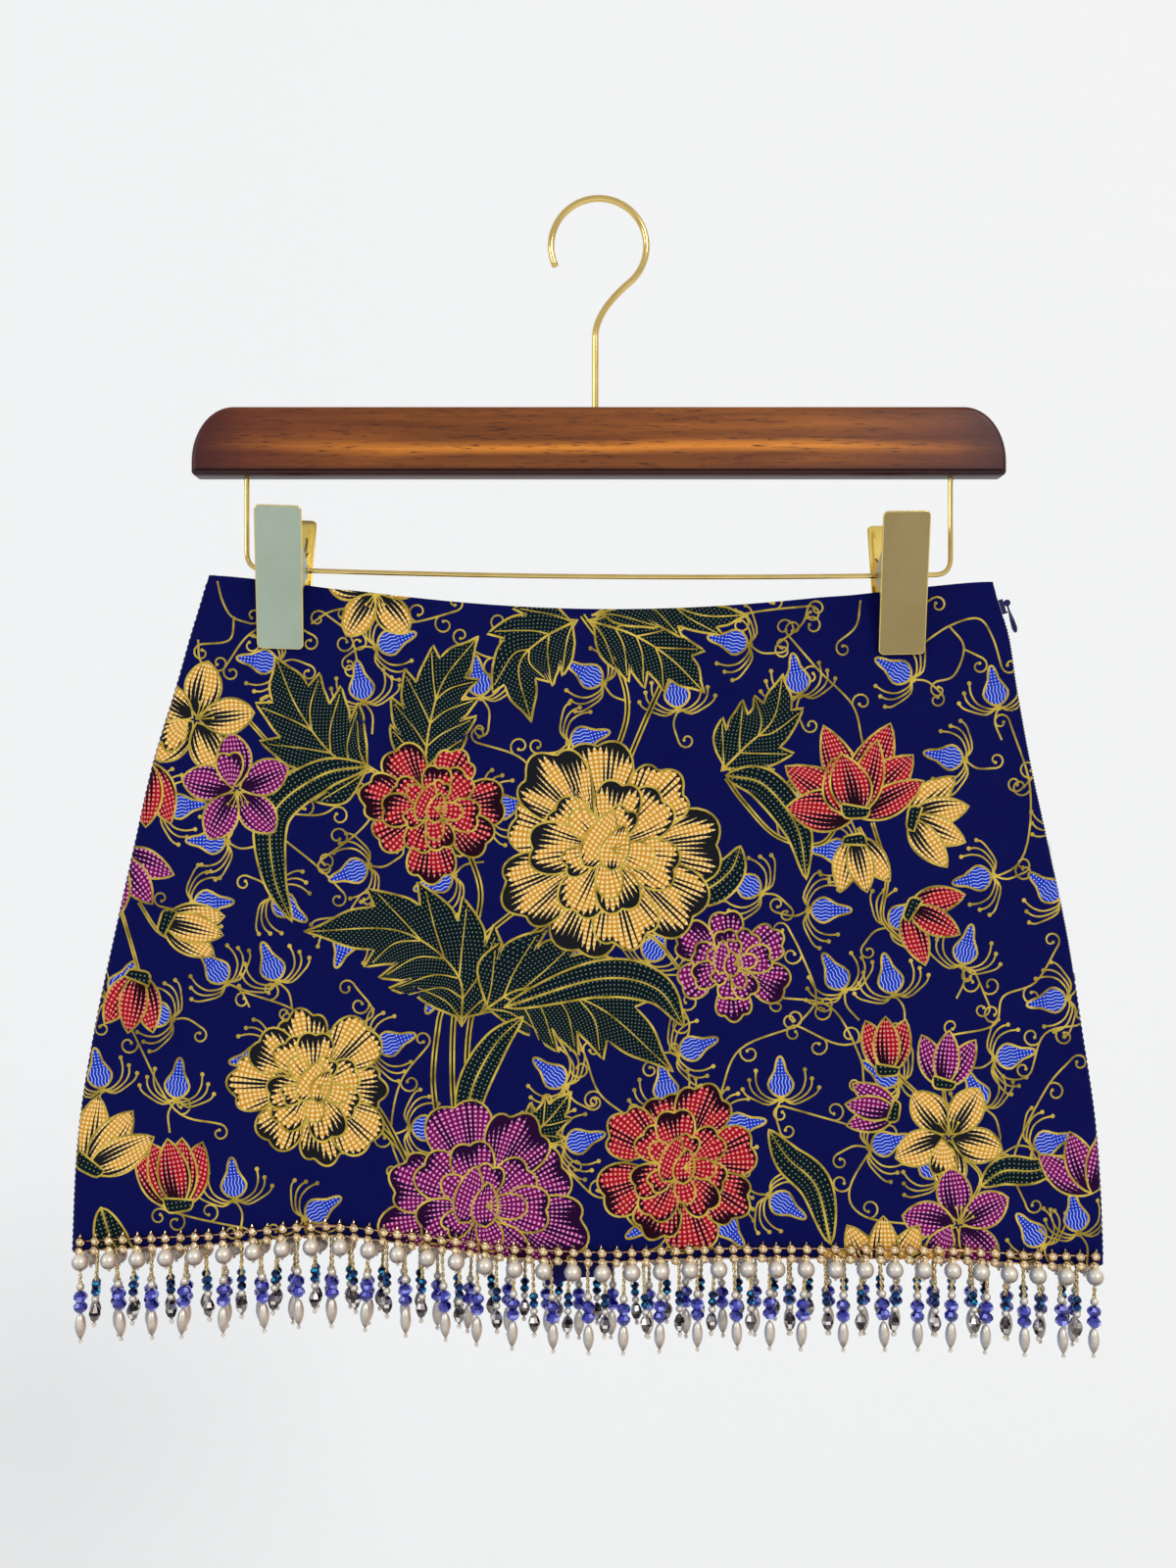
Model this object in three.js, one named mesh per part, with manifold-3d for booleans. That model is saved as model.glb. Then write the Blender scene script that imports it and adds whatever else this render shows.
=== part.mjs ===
// A printed cotton mini skirt with a beaded hem, held by two clips on a wooden hanger.
// Millimetres. X runs to the viewer's right, Y runs away from the viewer and Z is up.
// The origin is the highest point inside the hook, where a rail carries the hanger.

import * as THREE from 'three';
import { mergeVertices } from 'three/addons/utils/BufferGeometryUtils.js';
import Module from 'manifold-3d';

const wasm = await Module();
wasm.setup();

// Clearance between neighbouring pieces
const SEAM_GAP = 0.3;

// Skirt
const CLOTH_THICKNESS = 1.2;
// The outline: how far out the two side folds reach at each height
const SIDE_LINES = [
  { height: -160, left: -167, right: 168.2 },
  { height: -172, left: -170.5, right: 171.3 },
  { height: -186, left: -174.8, right: 175.6 },
  { height: -208, left: -181, right: 179 },
  { height: -241, left: -191, right: 185 },
  { height: -275, left: -198.7, right: 192.4 },
  { height: -313, left: -207.1, right: 200.4 },
  { height: -355, left: -216, right: 207 },
  { height: -397, left: -222.6, right: 213 },
  { height: -443, left: -225.2, right: 215.7 },
  { height: -500, left: -226, right: 216.5 },
];
const WAIST_LEFT = -160.5;
const WAIST_RIGHT = -163.3;
const WAIST_DIP = 13.4;
// Heights of the trim's upper row along the hem
const HEM_LINE = [
  { x: -226, front: -444.2, back: -446 },
  { x: -165, front: -440.5, back: -443 },
  { x: -118, front: -436.9, back: -442 },
  { x: -80, front: -440.3, back: -444 },
  { x: -40, front: -445.1, back: -446.5 },
  { x: 0, front: -446.9, back: -448 },
  { x: 60, front: -446.2, back: -447 },
  { x: 140, front: -446, back: -446 },
  { x: 190, front: -449.6, back: -448.5 },
  { x: 217, front: -450.4, back: -450 },
];
const CLOTH_BELOW_TRIM = 4.4;
const SIDE_FOLD_RADIUS = { waist: 2.2, hem: 3.6 };
const PANEL_BOW = { waist: 3.2, hem: 4.4 };
const BOW_REACH = 0.22;
// Soft folds that hang down each panel: where each lies and starts, its half width, its depth inwards
// and how far it leans for each millimetre down
const FRONT_FOLDS = [
  { x: -118, width: 34, depth: 2.4, starts: -300, lean: 0.05 },
  { x: -20, width: 42, depth: -1.3, starts: -250, lean: -0.04 },
  { x: 62, width: 30, depth: 1.5, starts: -280, lean: 0.06 },
  { x: 150, width: 28, depth: -1.2, starts: -230, lean: 0.1 },
];
const BACK_FOLDS = [
  { x: -90, width: 36, depth: -1.4, starts: -260, lean: 0.05 },
  { x: 10, width: 40, depth: 1.8, starts: -290, lean: 0.03 },
  { x: 105, width: 32, depth: 1.6, starts: -240, lean: -0.06 },
];
const FOLD_FADE = 110;
const ARC_SHARE = 0.04;
const ARC_COLUMNS = 3;
const FLAT_COLUMNS = 28;
const CLOTH_ROWS = 10;

// Hem trim: a strip with round pearls and strands of beads
const STRIP = { above: 1.7, below: 5.7, thickness: 1.6 };
const PEARL = { radius: 3.7, pitch: 12.3, below: 8.4, out: 2 };
const STRAND_PITCH = 7.7;
const STRAND_END_MARGIN = 3;
const STRAND_ROOT_BELOW = 4.6;
const STRAND_SIDES = 3;
const LONG_STRAND = { neck: 17.2, shoulder: 19, waist: 29, length: 43.6, width: 2.7, thread: 0.7 };
const SHORT_STRAND = { neck: 17, shoulder: 18.4, waist: 30, length: 37.4, width: 2.2, thread: 0.7 };
const STRAND_SWAY = 0.9;

// Hanger
const BAR = { length: 347, height: 29.2, depth: 12, top: -89, cornerX: 18, cornerZ: 23.5, edge: 1.5 };
const HOOK = { wire: 1.45, inside: 19, shankX: -1.5, shankTop: -58, seat: 12, pull: 9 };
const HOOK_TURN = { start: -50, end: 205, steps: 14 };
const WIRE = { radius: 1.1, leg: 150.8, left: -157.2, right: -159.8, bow: 2.2, bend: 7, seat: 10 };
const ROD_SIDES = 8;

// Clips, measured from the wire that each one turns on
const CLIPS = [
  { name: 'clip_left', x: -134.8 },
  { name: 'clip_right', x: 128.8 },
];
const JAW = { width: 19.4, length: 60, sheet: 1.2, corner: 2, flange: 1, flangeDepth: 2 };
const JAW_TIP = { y: CLOTH_THICKNESS + 1.5 * SEAM_GAP + JAW.sheet, z: -34 };
const JAW_TOP = { y: 17.8, z: 24.4 };
const EAR = { radius: 3.2, reach: 9, frontX: 9.1, backX: 7.7 };
const SPRING = { radius: 2.7, length: 13.6 };
const PINCH = { halfWidth: 17, beside: 20, below: 46 };

// Zip in the side seam at the viewer's right
const ZIP = { tapeTop: -176, tapeBottom: -330, tapeWidth: 8, tapeThickness: 0.9, seamHeight: -174 };
// Slider and pull, in millimetres out from the seam's surface and along it
const SLIDER = { front: 1.7, width: 3.8, height: 6.4, pinOut: 3.45, pinUp: 1, pinRadius: 0.45, cheek: 0.6 };
const PULL = { length: 13.4, neck: 0.75, bulb: 2.2, flatness: 0.5 };
const PULL_EYE = { inside: 0.8, outside: 1.45, width: 1.6 };

const COTTON = new THREE.MeshStandardMaterial({ color: 0x0b0f5c, roughness: 0.85, metalness: 0 });
const PEARLS = new THREE.MeshStandardMaterial({ color: 0xe8e2d4, roughness: 0.3, metalness: 0 });
const WOOD = new THREE.MeshStandardMaterial({ color: 0x6a3417, roughness: 0.45, metalness: 0 });
const GOLD = new THREE.MeshStandardMaterial({ color: 0xd8b860, roughness: 0.3, metalness: 1 });
const SATIN_GOLD = new THREE.MeshStandardMaterial({ color: 0xb5ab84, roughness: 0.42, metalness: 1 });
const STEEL = new THREE.MeshStandardMaterial({ color: 0xb8b8b4, roughness: 0.35, metalness: 1 });
const ENAMEL = new THREE.MeshStandardMaterial({ color: 0x14135a, roughness: 0.4, metalness: 0.2 });

const mix = (a, b, share) => a + (b - a) * share;
const smooth = (t) => {
  const s = Math.min(1, Math.max(0, t));
  return s * s * (3 - 2 * s);
};
const hump = (distance) => Math.exp(-distance * distance);
const radians = THREE.MathUtils.degToRad;

// A value read from a table's field on a smooth curve through its rows
function readTable(table, key, field, at) {
  const direction = Math.sign(table[1][key] - table[0][key]);
  const last = table.length - 1;
  let row = 0;
  while (row < last - 1 && direction * (at - table[row + 1][key]) > 0) {
    row += 1;
  }
  const here = table[row];
  const next = table[row + 1];
  const before = table[Math.max(0, row - 1)];
  const after = table[Math.min(last, row + 2)];
  const span = next[key] - here[key];
  const t = (at - here[key]) / span;
  const startSlope = (next[field] - before[field]) / (next[key] - before[key]) * span;
  const endSlope = (after[field] - here[field]) / (after[key] - here[key]) * span;
  const t2 = t * t;
  const t3 = t2 * t;
  return (2 * t3 - 3 * t2 + 1) * here[field] + (t3 - 2 * t2 + t) * startSlope
    + (3 * t2 - 2 * t3) * next[field] + (t3 - t2) * endSlope;
}

const sideLine = (height, side) => readTable(SIDE_LINES, 'height', side, height);

// Share of the way from waist to hem, for sizes that change evenly with height
const drop = (height) => smooth((WAIST_LEFT - height) / (WAIST_LEFT - HEM_LINE[0].front));

// Heights of the cut edges. across runs from -1 at the left fold to 1 at the right fold
function waistHeight(across) {
  const line = mix(WAIST_LEFT, WAIST_RIGHT, (across + 1) / 2);
  return line - WAIST_DIP * Math.pow(1 - across * across, 1.5);
}

function trimHeight(across, panel) {
  const x = mix(HEM_LINE[0].x, HEM_LINE.at(-1).x, (across + 1) / 2);
  return readTable(HEM_LINE, 'x', panel, x);
}

// How far the panel's middle stands from the plane between the two panels
function standOff(x, height, share, radius, panel) {
  const plateau = smooth(Math.min(share, 1 - share) / BOW_REACH);
  let off = SEAM_GAP / 2 + radius + mix(PANEL_BOW.waist, PANEL_BOW.hem, drop(height)) * plateau;
  const folds = panel === 'front' ? FRONT_FOLDS : BACK_FOLDS;
  for (const fold of folds) {
    const centre = fold.x + fold.lean * (height - fold.starts);
    const begun = smooth((fold.starts - height) / FOLD_FADE);
    off -= fold.depth * hump((x - centre) / fold.width) * begun * plateau;
  }
  const pinched = SEAM_GAP / 2 + CLOTH_THICKNESS / 2;
  for (const clip of CLIPS) {
    const tip = wireHeight(clip.x) + JAW_TIP.z;
    const beside = smooth((Math.abs(x - clip.x) - PINCH.halfWidth) / PINCH.beside);
    const below = smooth((tip - height) / PINCH.below);
    off = mix(pinched, off, 1 - (1 - beside) * (1 - below));
  }
  return off;
}

// A point in the middle of a panel's wall. column runs from 0 at the left seam to 1 at the right seam
function clothMiddle(column, height, panel) {
  const left = sideLine(height, 'left') + CLOTH_THICKNESS / 2;
  const right = sideLine(height, 'right') - CLOTH_THICKNESS / 2;
  const radius = mix(SIDE_FOLD_RADIUS.waist, SIDE_FOLD_RADIUS.hem, drop(height));
  const fromSide = Math.min(column, 1 - column);
  const outwards = panel === 'front' ? -1 : 1;
  if (fromSide < ARC_SHARE) {
    const angle = fromSide / ARC_SHARE * Math.PI / 2;
    const inwards = radius * (1 - Math.cos(angle));
    const x = column < 0.5 ? left + inwards : right - inwards;
    return new THREE.Vector3(x, outwards * (SEAM_GAP / 2 + radius * Math.sin(angle)), height);
  }
  const share = (column - ARC_SHARE) / (1 - 2 * ARC_SHARE);
  const x = mix(left + radius, right - radius, share);
  return new THREE.Vector3(x, outwards * standOff(x, height, share, radius, panel), height);
}

// The direction that faces out of the skirt at such a point
function clothNormal(column, height, panel) {
  const reach = 0.004;
  const low = Math.max(0, column - reach);
  const high = Math.min(1, column + reach);
  const along = clothMiddle(high, height, panel).sub(clothMiddle(low, height, panel));
  const up = clothMiddle(column, height + 1, panel).sub(clothMiddle(column, height - 1, panel));
  const normal = panel === 'front' ? along.cross(up) : up.cross(along);
  return normal.normalize();
}

function clothPoint(column, height, panel, outwards) {
  return clothMiddle(column, height, panel).addScaledVector(clothNormal(column, height, panel), outwards);
}

// The same place as a share from -1 to 1 between the two folds
const acrossAt = (column) => mix(-1, 1, Math.min(1, Math.max(0, (column - ARC_SHARE) / (1 - 2 * ARC_SHARE))));

function columns() {
  const list = [];
  for (let i = 0; i < ARC_COLUMNS; i += 1) {
    list.push(ARC_SHARE * i / ARC_COLUMNS);
  }
  for (let i = 0; i <= FLAT_COLUMNS; i += 1) {
    list.push(mix(ARC_SHARE, 1 - ARC_SHARE, i / FLAT_COLUMNS));
  }
  for (let i = ARC_COLUMNS - 1; i >= 0; i -= 1) {
    list.push(1 - ARC_SHARE * i / ARC_COLUMNS);
  }
  return list;
}

// A closed wall between two grids of points, each a list of rows
function wall(outer, inner) {
  const rows = outer.length;
  const count = outer[0].length;
  const points = [...outer.flat(), ...inner.flat()];
  const outerAt = (row, i) => row * count + i;
  const innerAt = (row, i) => rows * count + row * count + i;
  const triangles = [];
  const quad = (a, b, c, d) => triangles.push(a, b, c, a, c, d);
  for (let row = 0; row < rows - 1; row += 1) {
    for (let i = 0; i < count - 1; i += 1) {
      quad(outerAt(row, i), outerAt(row + 1, i), outerAt(row + 1, i + 1), outerAt(row, i + 1));
      quad(innerAt(row, i), innerAt(row, i + 1), innerAt(row + 1, i + 1), innerAt(row + 1, i));
    }
    quad(outerAt(row, 0), innerAt(row, 0), innerAt(row + 1, 0), outerAt(row + 1, 0));
    const end = count - 1;
    quad(outerAt(row, end), outerAt(row + 1, end), innerAt(row + 1, end), innerAt(row, end));
  }
  for (let i = 0; i < count - 1; i += 1) {
    quad(outerAt(0, i), outerAt(0, i + 1), innerAt(0, i + 1), innerAt(0, i));
    quad(outerAt(rows - 1, i), innerAt(rows - 1, i), innerAt(rows - 1, i + 1), outerAt(rows - 1, i + 1));
  }
  return facingOut(points, triangles);
}

// Turns the faces round where they enclose a negative volume
function facingOut(points, triangles) {
  let volume = 0;
  for (let i = 0; i < triangles.length; i += 3) {
    const [a, b, c] = [0, 1, 2].map((k) => points[triangles[i + k]]);
    volume += a.clone().cross(b).dot(c);
  }
  const index = volume < 0 ? triangles.slice().reverse() : triangles;
  const geometry = new THREE.BufferGeometry();
  geometry.setFromPoints(points);
  geometry.setIndex(index);
  geometry.computeVertexNormals();
  return geometry;
}

// Between three.js geometry and a solid that can be joined and cut
function toSolid(geometry) {
  const bare = geometry.clone();
  bare.deleteAttribute('normal');
  bare.deleteAttribute('uv');
  const merged = mergeVertices(bare, 1e-4);
  return new wasm.Manifold(new wasm.Mesh({
    numProp: 3,
    vertProperties: new Float32Array(merged.attributes.position.array),
    triVerts: new Uint32Array(merged.index.array),
  }));
}

function toGeometry(solid) {
  const mesh = solid.getMesh();
  const geometry = new THREE.BufferGeometry();
  geometry.setAttribute('position', new THREE.BufferAttribute(new Float32Array(mesh.vertProperties), 3));
  geometry.setIndex(new THREE.BufferAttribute(new Uint32Array(mesh.triVerts), 1));
  geometry.computeVertexNormals();
  return geometry;
}

const join = (geometries) => toGeometry(geometries.map(toSolid).reduce((whole, part) => whole.add(part)));

function cut(geometry, tools) {
  return toGeometry(tools.map(toSolid).reduce((rest, tool) => rest.subtract(tool), toSolid(geometry)));
}

// A round bar along a curve, with flat ends
function rod(curve, radius, steps) {
  const section = new THREE.Shape();
  section.absarc(0, 0, radius, 0, 2 * Math.PI);
  const round = new THREE.Shape(section.getSpacedPoints(ROD_SIDES).slice(0, ROD_SIDES));
  return new THREE.ExtrudeGeometry(round, { steps, extrudePath: curve, bevelEnabled: false });
}

function upright(radius, bottom, top, x) {
  return new THREE.CylinderGeometry(radius, radius, top - bottom, 12).rotateX(Math.PI / 2)
    .translate(x, 0, (top + bottom) / 2);
}

// Cloth

function panelGeometry(panel) {
  const outer = [];
  const inner = [];
  for (let row = 0; row <= CLOTH_ROWS; row += 1) {
    const heights = columns().map((column) => {
      const across = acrossAt(column);
      return mix(waistHeight(across), trimHeight(across, panel) - CLOTH_BELOW_TRIM, row / CLOTH_ROWS);
    });
    outer.push(columns().map((column, i) => clothPoint(column, heights[i], panel, CLOTH_THICKNESS / 2)));
    inner.push(columns().map((column, i) => clothPoint(column, heights[i], panel, -CLOTH_THICKNESS / 2)));
  }
  return wall(outer, inner);
}

// Hem trim

function stripGeometry(panel) {
  const near = CLOTH_THICKNESS / 2 + SEAM_GAP;
  const far = near + STRIP.thickness;
  const edges = [STRIP.above, -STRIP.below];
  const face = (outwards) => edges.map((edge) => columns().map((column) => {
    const height = trimHeight(acrossAt(column), panel) + edge;
    return clothPoint(column, height, panel, outwards);
  }));
  return wall(face(far), face(near));
}

// The column whose middle lies at a given X, found by halving
function columnAt(x, height, panel) {
  let low = 0;
  let high = 1;
  for (let i = 0; i < 24; i += 1) {
    const middle = (low + high) / 2;
    if (clothMiddle(middle, height, panel).x < x) {
      low = middle;
    } else {
      high = middle;
    }
  }
  return (low + high) / 2;
}

// Evenly spaced places along the hem, with the column and trim height of each
function placesAlongHem(pitch, margin, panel) {
  const hem = HEM_LINE[0].front;
  const left = sideLine(hem, 'left') + margin;
  const right = sideLine(hem, 'right') - margin;
  const count = Math.floor((right - left) / pitch);
  const start = (left + right - count * pitch) / 2;
  return Array.from({ length: count + 1 }, (_, i) => {
    const column = columnAt(start + i * pitch, hem, panel);
    return { column, height: trimHeight(acrossAt(column), panel) };
  });
}

function pearlGeometries(panel) {
  return placesAlongHem(PEARL.pitch, PEARL.radius, panel).map(({ column, height }) => {
    const seat = clothPoint(column, height, panel, CLOTH_THICKNESS / 2 + PEARL.out);
    return new THREE.IcosahedronGeometry(PEARL.radius, 0).translate(seat.x, seat.y, height - PEARL.below);
  });
}

// A strand is drawn as its outer shape: thread, a cluster of beads and a drop
function strandGeometry(strand, place, index, panel) {
  const stripMiddle = (CLOTH_THICKNESS + STRIP.thickness) / 2 + SEAM_GAP;
  const root = clothPoint(place.column, place.height, panel, stripMiddle);
  const profile = [
    [0, -STRAND_ROOT_BELOW],
    [strand.thread, -STRAND_ROOT_BELOW],
    [strand.thread, -strand.neck],
    [strand.width, -strand.shoulder],
    [strand.width, -strand.waist],
    [0, -strand.length],
  ].map(([radius, height]) => new THREE.Vector2(radius, height));
  const sway = STRAND_SWAY * Math.sin(index * 2.4 + (panel === 'front' ? 0 : 1.3)) / strand.length;
  return new THREE.LatheGeometry(profile.reverse(), STRAND_SIDES).rotateX(Math.PI / 2)
    .rotateY(sway).translate(root.x, root.y, place.height);
}

function trimGeometry(panel) {
  const strands = placesAlongHem(STRAND_PITCH, STRAND_END_MARGIN, panel).map((place, i) => {
    const strand = (i + (panel === 'front' ? 0 : 1)) % 2 === 0 ? LONG_STRAND : SHORT_STRAND;
    return strandGeometry(strand, place, i, panel);
  });
  return join([stripGeometry(panel), ...pearlGeometries(panel), ...strands]);
}

// Hanger

function barGeometry() {
  const half = BAR.length / 2 - BAR.edge;
  const bottom = BAR.top - BAR.height + BAR.edge;
  const top = BAR.top - BAR.edge;
  const outline = new THREE.Shape();
  outline.moveTo(-half, bottom);
  outline.lineTo(half, bottom);
  outline.lineTo(half, top - BAR.cornerZ);
  outline.absellipse(half - BAR.cornerX, top - BAR.cornerZ, BAR.cornerX, BAR.cornerZ, 0, Math.PI / 2);
  outline.lineTo(-half + BAR.cornerX, top);
  outline.absellipse(-half + BAR.cornerX, top - BAR.cornerZ, BAR.cornerX, BAR.cornerZ, Math.PI / 2, Math.PI);
  const body = new THREE.ExtrudeGeometry(outline, {
    depth: BAR.depth - 2 * BAR.edge,
    curveSegments: 8,
    bevelSize: BAR.edge,
    bevelThickness: BAR.edge,
    bevelSegments: 2,
  });
  body.rotateX(Math.PI / 2).translate(0, BAR.depth / 2 - BAR.edge, 0);
  const under = BAR.top - BAR.height;
  return cut(body, [
    upright(HOOK.wire + SEAM_GAP, BAR.top - HOOK.seat - SEAM_GAP, BAR.top + 1, HOOK.shankX),
    upright(WIRE.radius + SEAM_GAP, under - 1, under + WIRE.seat + SEAM_GAP, -WIRE.leg),
    upright(WIRE.radius + SEAM_GAP, under - 1, under + WIRE.seat + SEAM_GAP, WIRE.leg),
  ]);
}

// The hook rises from the wood, swings out to the right and turns over the rail to the left
function hookGeometry() {
  const bend = HOOK.inside + HOOK.wire;
  const centre = -HOOK.inside;
  const onArc = (degrees) => new THREE.Vector3(
    bend * Math.cos(radians(degrees)), 0, centre + bend * Math.sin(radians(degrees)));
  const start = onArc(HOOK_TURN.start);
  const turn = radians(HOOK_TURN.start);
  const heading = new THREE.Vector3(-Math.sin(turn), 0, Math.cos(turn));
  const shankTop = new THREE.Vector3(HOOK.shankX, 0, HOOK.shankTop);
  const neck = new THREE.CubicBezierCurve3(
    shankTop,
    shankTop.clone().add(new THREE.Vector3(0, 0, HOOK.pull)),
    start.clone().addScaledVector(heading, -HOOK.pull),
    start,
  );
  const points = [BAR.top - HOOK.seat, BAR.top, (BAR.top + HOOK.shankTop) / 2]
    .map((height) => new THREE.Vector3(HOOK.shankX, 0, height));
  points.push(...neck.getPoints(6));
  for (let i = 1; i <= HOOK_TURN.steps; i += 1) {
    points.push(onArc(mix(HOOK_TURN.start, HOOK_TURN.end, i / HOOK_TURN.steps)));
  }
  return rod(new THREE.CatmullRomCurve3(points, false, 'centripetal'), HOOK.wire, 42);
}

// Height of the wire's middle at a place along it, and how steeply it runs there
function wireHeight(x) {
  const share = (x + WIRE.leg) / (2 * WIRE.leg);
  return mix(WIRE.left, WIRE.right, share) - 4 * WIRE.bow * share * (1 - share);
}

const wireTilt = (x) => Math.atan(wireHeight(x + 0.5) - wireHeight(x - 0.5));

function wireGeometry() {
  const seat = BAR.top - BAR.height + WIRE.seat;
  const path = new THREE.CurvePath();
  const corner = (x, height) => new THREE.Vector3(x, 0, height);
  const inward = WIRE.leg - WIRE.bend;
  const leftLow = corner(-inward, wireHeight(-inward));
  const rightLow = corner(inward, wireHeight(inward));
  const leftLeg = corner(-WIRE.leg, leftLow.z + WIRE.bend);
  const rightLeg = corner(WIRE.leg, rightLow.z + WIRE.bend);
  path.add(new THREE.LineCurve3(corner(-WIRE.leg, seat), leftLeg));
  path.add(new THREE.QuadraticBezierCurve3(leftLeg, corner(-WIRE.leg, leftLow.z), leftLow));
  const middle = corner(0, 2 * wireHeight(0) - (leftLow.z + rightLow.z) / 2);
  path.add(new THREE.QuadraticBezierCurve3(leftLow, middle, rightLow));
  path.add(new THREE.QuadraticBezierCurve3(rightLow, corner(WIRE.leg, rightLow.z), rightLeg));
  path.add(new THREE.LineCurve3(rightLeg, corner(WIRE.leg, seat)));
  return rod(path, WIRE.radius, 56);
}

// Clips

function roundedPlate(width, length, corner, thickness) {
  const outline = new THREE.Shape();
  const x = width / 2 - corner;
  const y = length / 2 - corner;
  outline.absarc(x, y, corner, 0, Math.PI / 2);
  outline.absarc(-x, y, corner, Math.PI / 2, Math.PI);
  outline.absarc(-x, -y, corner, Math.PI, 1.5 * Math.PI);
  outline.absarc(x, -y, corner, 1.5 * Math.PI, 2 * Math.PI);
  return new THREE.ExtrudeGeometry(outline, { depth: thickness, bevelEnabled: false, curveSegments: 3 });
}

const JAW_LEAN = Math.atan2(JAW_TOP.y - JAW_TIP.y, JAW_TOP.z - JAW_TIP.z);

// How far the inner face of a jaw's plate stands from the middle of the cloth
const plateFace = (height) => JAW_TIP.y - JAW.sheet + (height - JAW_TIP.z) * Math.tan(JAW_LEAN);

// One folded edge of a jaw, seen along the wire: x is the distance from the cloth and y the height.
// It is narrow along the plate and widens to an ear round the wire.
function flangeGeometry(x) {
  const bottom = JAW_TIP.z + 3;
  const top = JAW_TOP.z - JAW.corner;
  const inner = (height) => plateFace(height) - JAW.flangeDepth;
  const buried = 0.6;
  const outline = new THREE.Shape();
  outline.moveTo(plateFace(bottom) + buried, bottom);
  outline.lineTo(plateFace(bottom), bottom);
  outline.lineTo(inner(bottom + 8), bottom + 8);
  outline.lineTo(inner(-EAR.reach), -EAR.reach);
  outline.absarc(0, 0, EAR.radius, -radians(100), -radians(260), true);
  outline.lineTo(inner(EAR.reach), EAR.reach);
  outline.lineTo(inner(top - 4), top - 4);
  outline.lineTo(plateFace(top), top);
  outline.lineTo(plateFace(top) + buried, top);
  const bore = new THREE.Path();
  bore.absarc(0, 0, WIRE.radius + SEAM_GAP, 0, 2 * Math.PI);
  outline.holes.push(bore);
  const sheet = new THREE.ExtrudeGeometry(outline, {
    depth: JAW.flange,
    bevelEnabled: false,
    curveSegments: 6,
  });
  const seenAlongWire = new THREE.Matrix4().makeBasis(
    new THREE.Vector3(0, -1, 0), new THREE.Vector3(0, 0, 1), new THREE.Vector3(-1, 0, 0));
  return sheet.applyMatrix4(seenAlongWire).translate(x + JAW.flange / 2, 0, 0);
}

function jawGeometry(earX) {
  const plate = roundedPlate(JAW.width, JAW.length, JAW.corner, JAW.sheet);
  plate.rotateX(Math.PI / 2).rotateX(JAW_LEAN);
  const middle = (JAW_TOP.z + JAW_TIP.z) / 2;
  plate.translate(0, -plateFace(middle), middle);
  return join([plate, flangeGeometry(-earX), flangeGeometry(earX)]);
}

// A spring's coil as a plain sleeve round the wire
function springGeometry() {
  const bore = WIRE.radius + SEAM_GAP;
  const half = SPRING.length / 2;
  const profile = [[bore, -half], [SPRING.radius, -half], [SPRING.radius, half], [bore, half], [bore, -half]];
  return new THREE.LatheGeometry(profile.map(([r, h]) => new THREE.Vector2(r, h)), 12).rotateZ(Math.PI / 2);
}

// Zip

function tapeGeometry() {
  const rows = 8;
  const inset = CLOTH_THICKNESS + SEAM_GAP;
  const face = (y) => Array.from({ length: rows + 1 }, (_, row) => {
    const height = mix(ZIP.tapeTop, ZIP.tapeBottom, row / rows);
    const edge = sideLine(height, 'right') - inset;
    return [new THREE.Vector3(edge - ZIP.tapeWidth, y, height), new THREE.Vector3(edge, y, height)];
  });
  return wall(face(-ZIP.tapeThickness / 2), face(ZIP.tapeThickness / 2));
}

// A block given by where it starts and ends out from the seam, its width and its two heights
function block(from, to, width, bottom, top, y = 0) {
  return new THREE.BoxGeometry(to - from, width, top - bottom)
    .translate((from + to) / 2, y, (top + bottom) / 2);
}

// The slider's plate, two cheeks that hold a pin, and a lip that the pull rests on
function sliderGeometry() {
  const half = SLIDER.height / 2;
  const cheekY = (SLIDER.width - SLIDER.cheek) / 2 - 0.2;
  const pin = new THREE.CylinderGeometry(SLIDER.pinRadius, SLIDER.pinRadius, 2 * cheekY, 8)
    .translate(SLIDER.pinOut, 0, SLIDER.pinUp);
  const root = SLIDER.front - 0.3;
  const round = SLIDER.pinRadius + 0.35;
  const top = SLIDER.pinUp + round;
  const cheek = (y) => block(root, SLIDER.pinOut + round, SLIDER.cheek, top - 2 * round, top, y);
  const lipTop = SLIDER.pinOut - PULL.neck * PULL.flatness - 2 * SEAM_GAP;
  return join([
    block(SEAM_GAP, SLIDER.front, SLIDER.width, -half, half),
    block(root, lipTop, 2, -half, -half + 0.8),
    cheek(-cheekY),
    cheek(cheekY),
    pin,
  ]);
}

// A flattened drop below an eye that turns on the pin
function pullGeometry() {
  const bulbTop = -PULL.length + PULL.bulb;
  const outline = [
    [0, -PULL.length],
    [PULL.bulb * 0.6, bulbTop - PULL.bulb * 0.8],
    [PULL.bulb, bulbTop],
    [PULL.bulb * 0.85, bulbTop + 3.4],
    [PULL.neck, -PULL_EYE.outside - 2],
    [PULL.neck, -PULL_EYE.inside - 0.3],
    [0, -PULL_EYE.inside - 0.3],
  ].map(([radius, height]) => new THREE.Vector2(radius, height));
  const drop = new THREE.LatheGeometry(outline, 12).rotateX(Math.PI / 2).scale(PULL.flatness, 1, 1);
  const ring = new THREE.Shape();
  ring.absarc(0, 0, PULL_EYE.outside, 0, 2 * Math.PI);
  const hole = new THREE.Path();
  hole.absarc(0, 0, PULL_EYE.inside, 0, 2 * Math.PI);
  ring.holes.push(hole);
  const eye = new THREE.ExtrudeGeometry(ring, {
    depth: PULL_EYE.width,
    bevelEnabled: false,
    curveSegments: 6,
  });
  eye.translate(0, 0, -PULL_EYE.width / 2).rotateX(Math.PI / 2);
  return join([drop, eye]);
}

const skirt = new THREE.Group();

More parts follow.
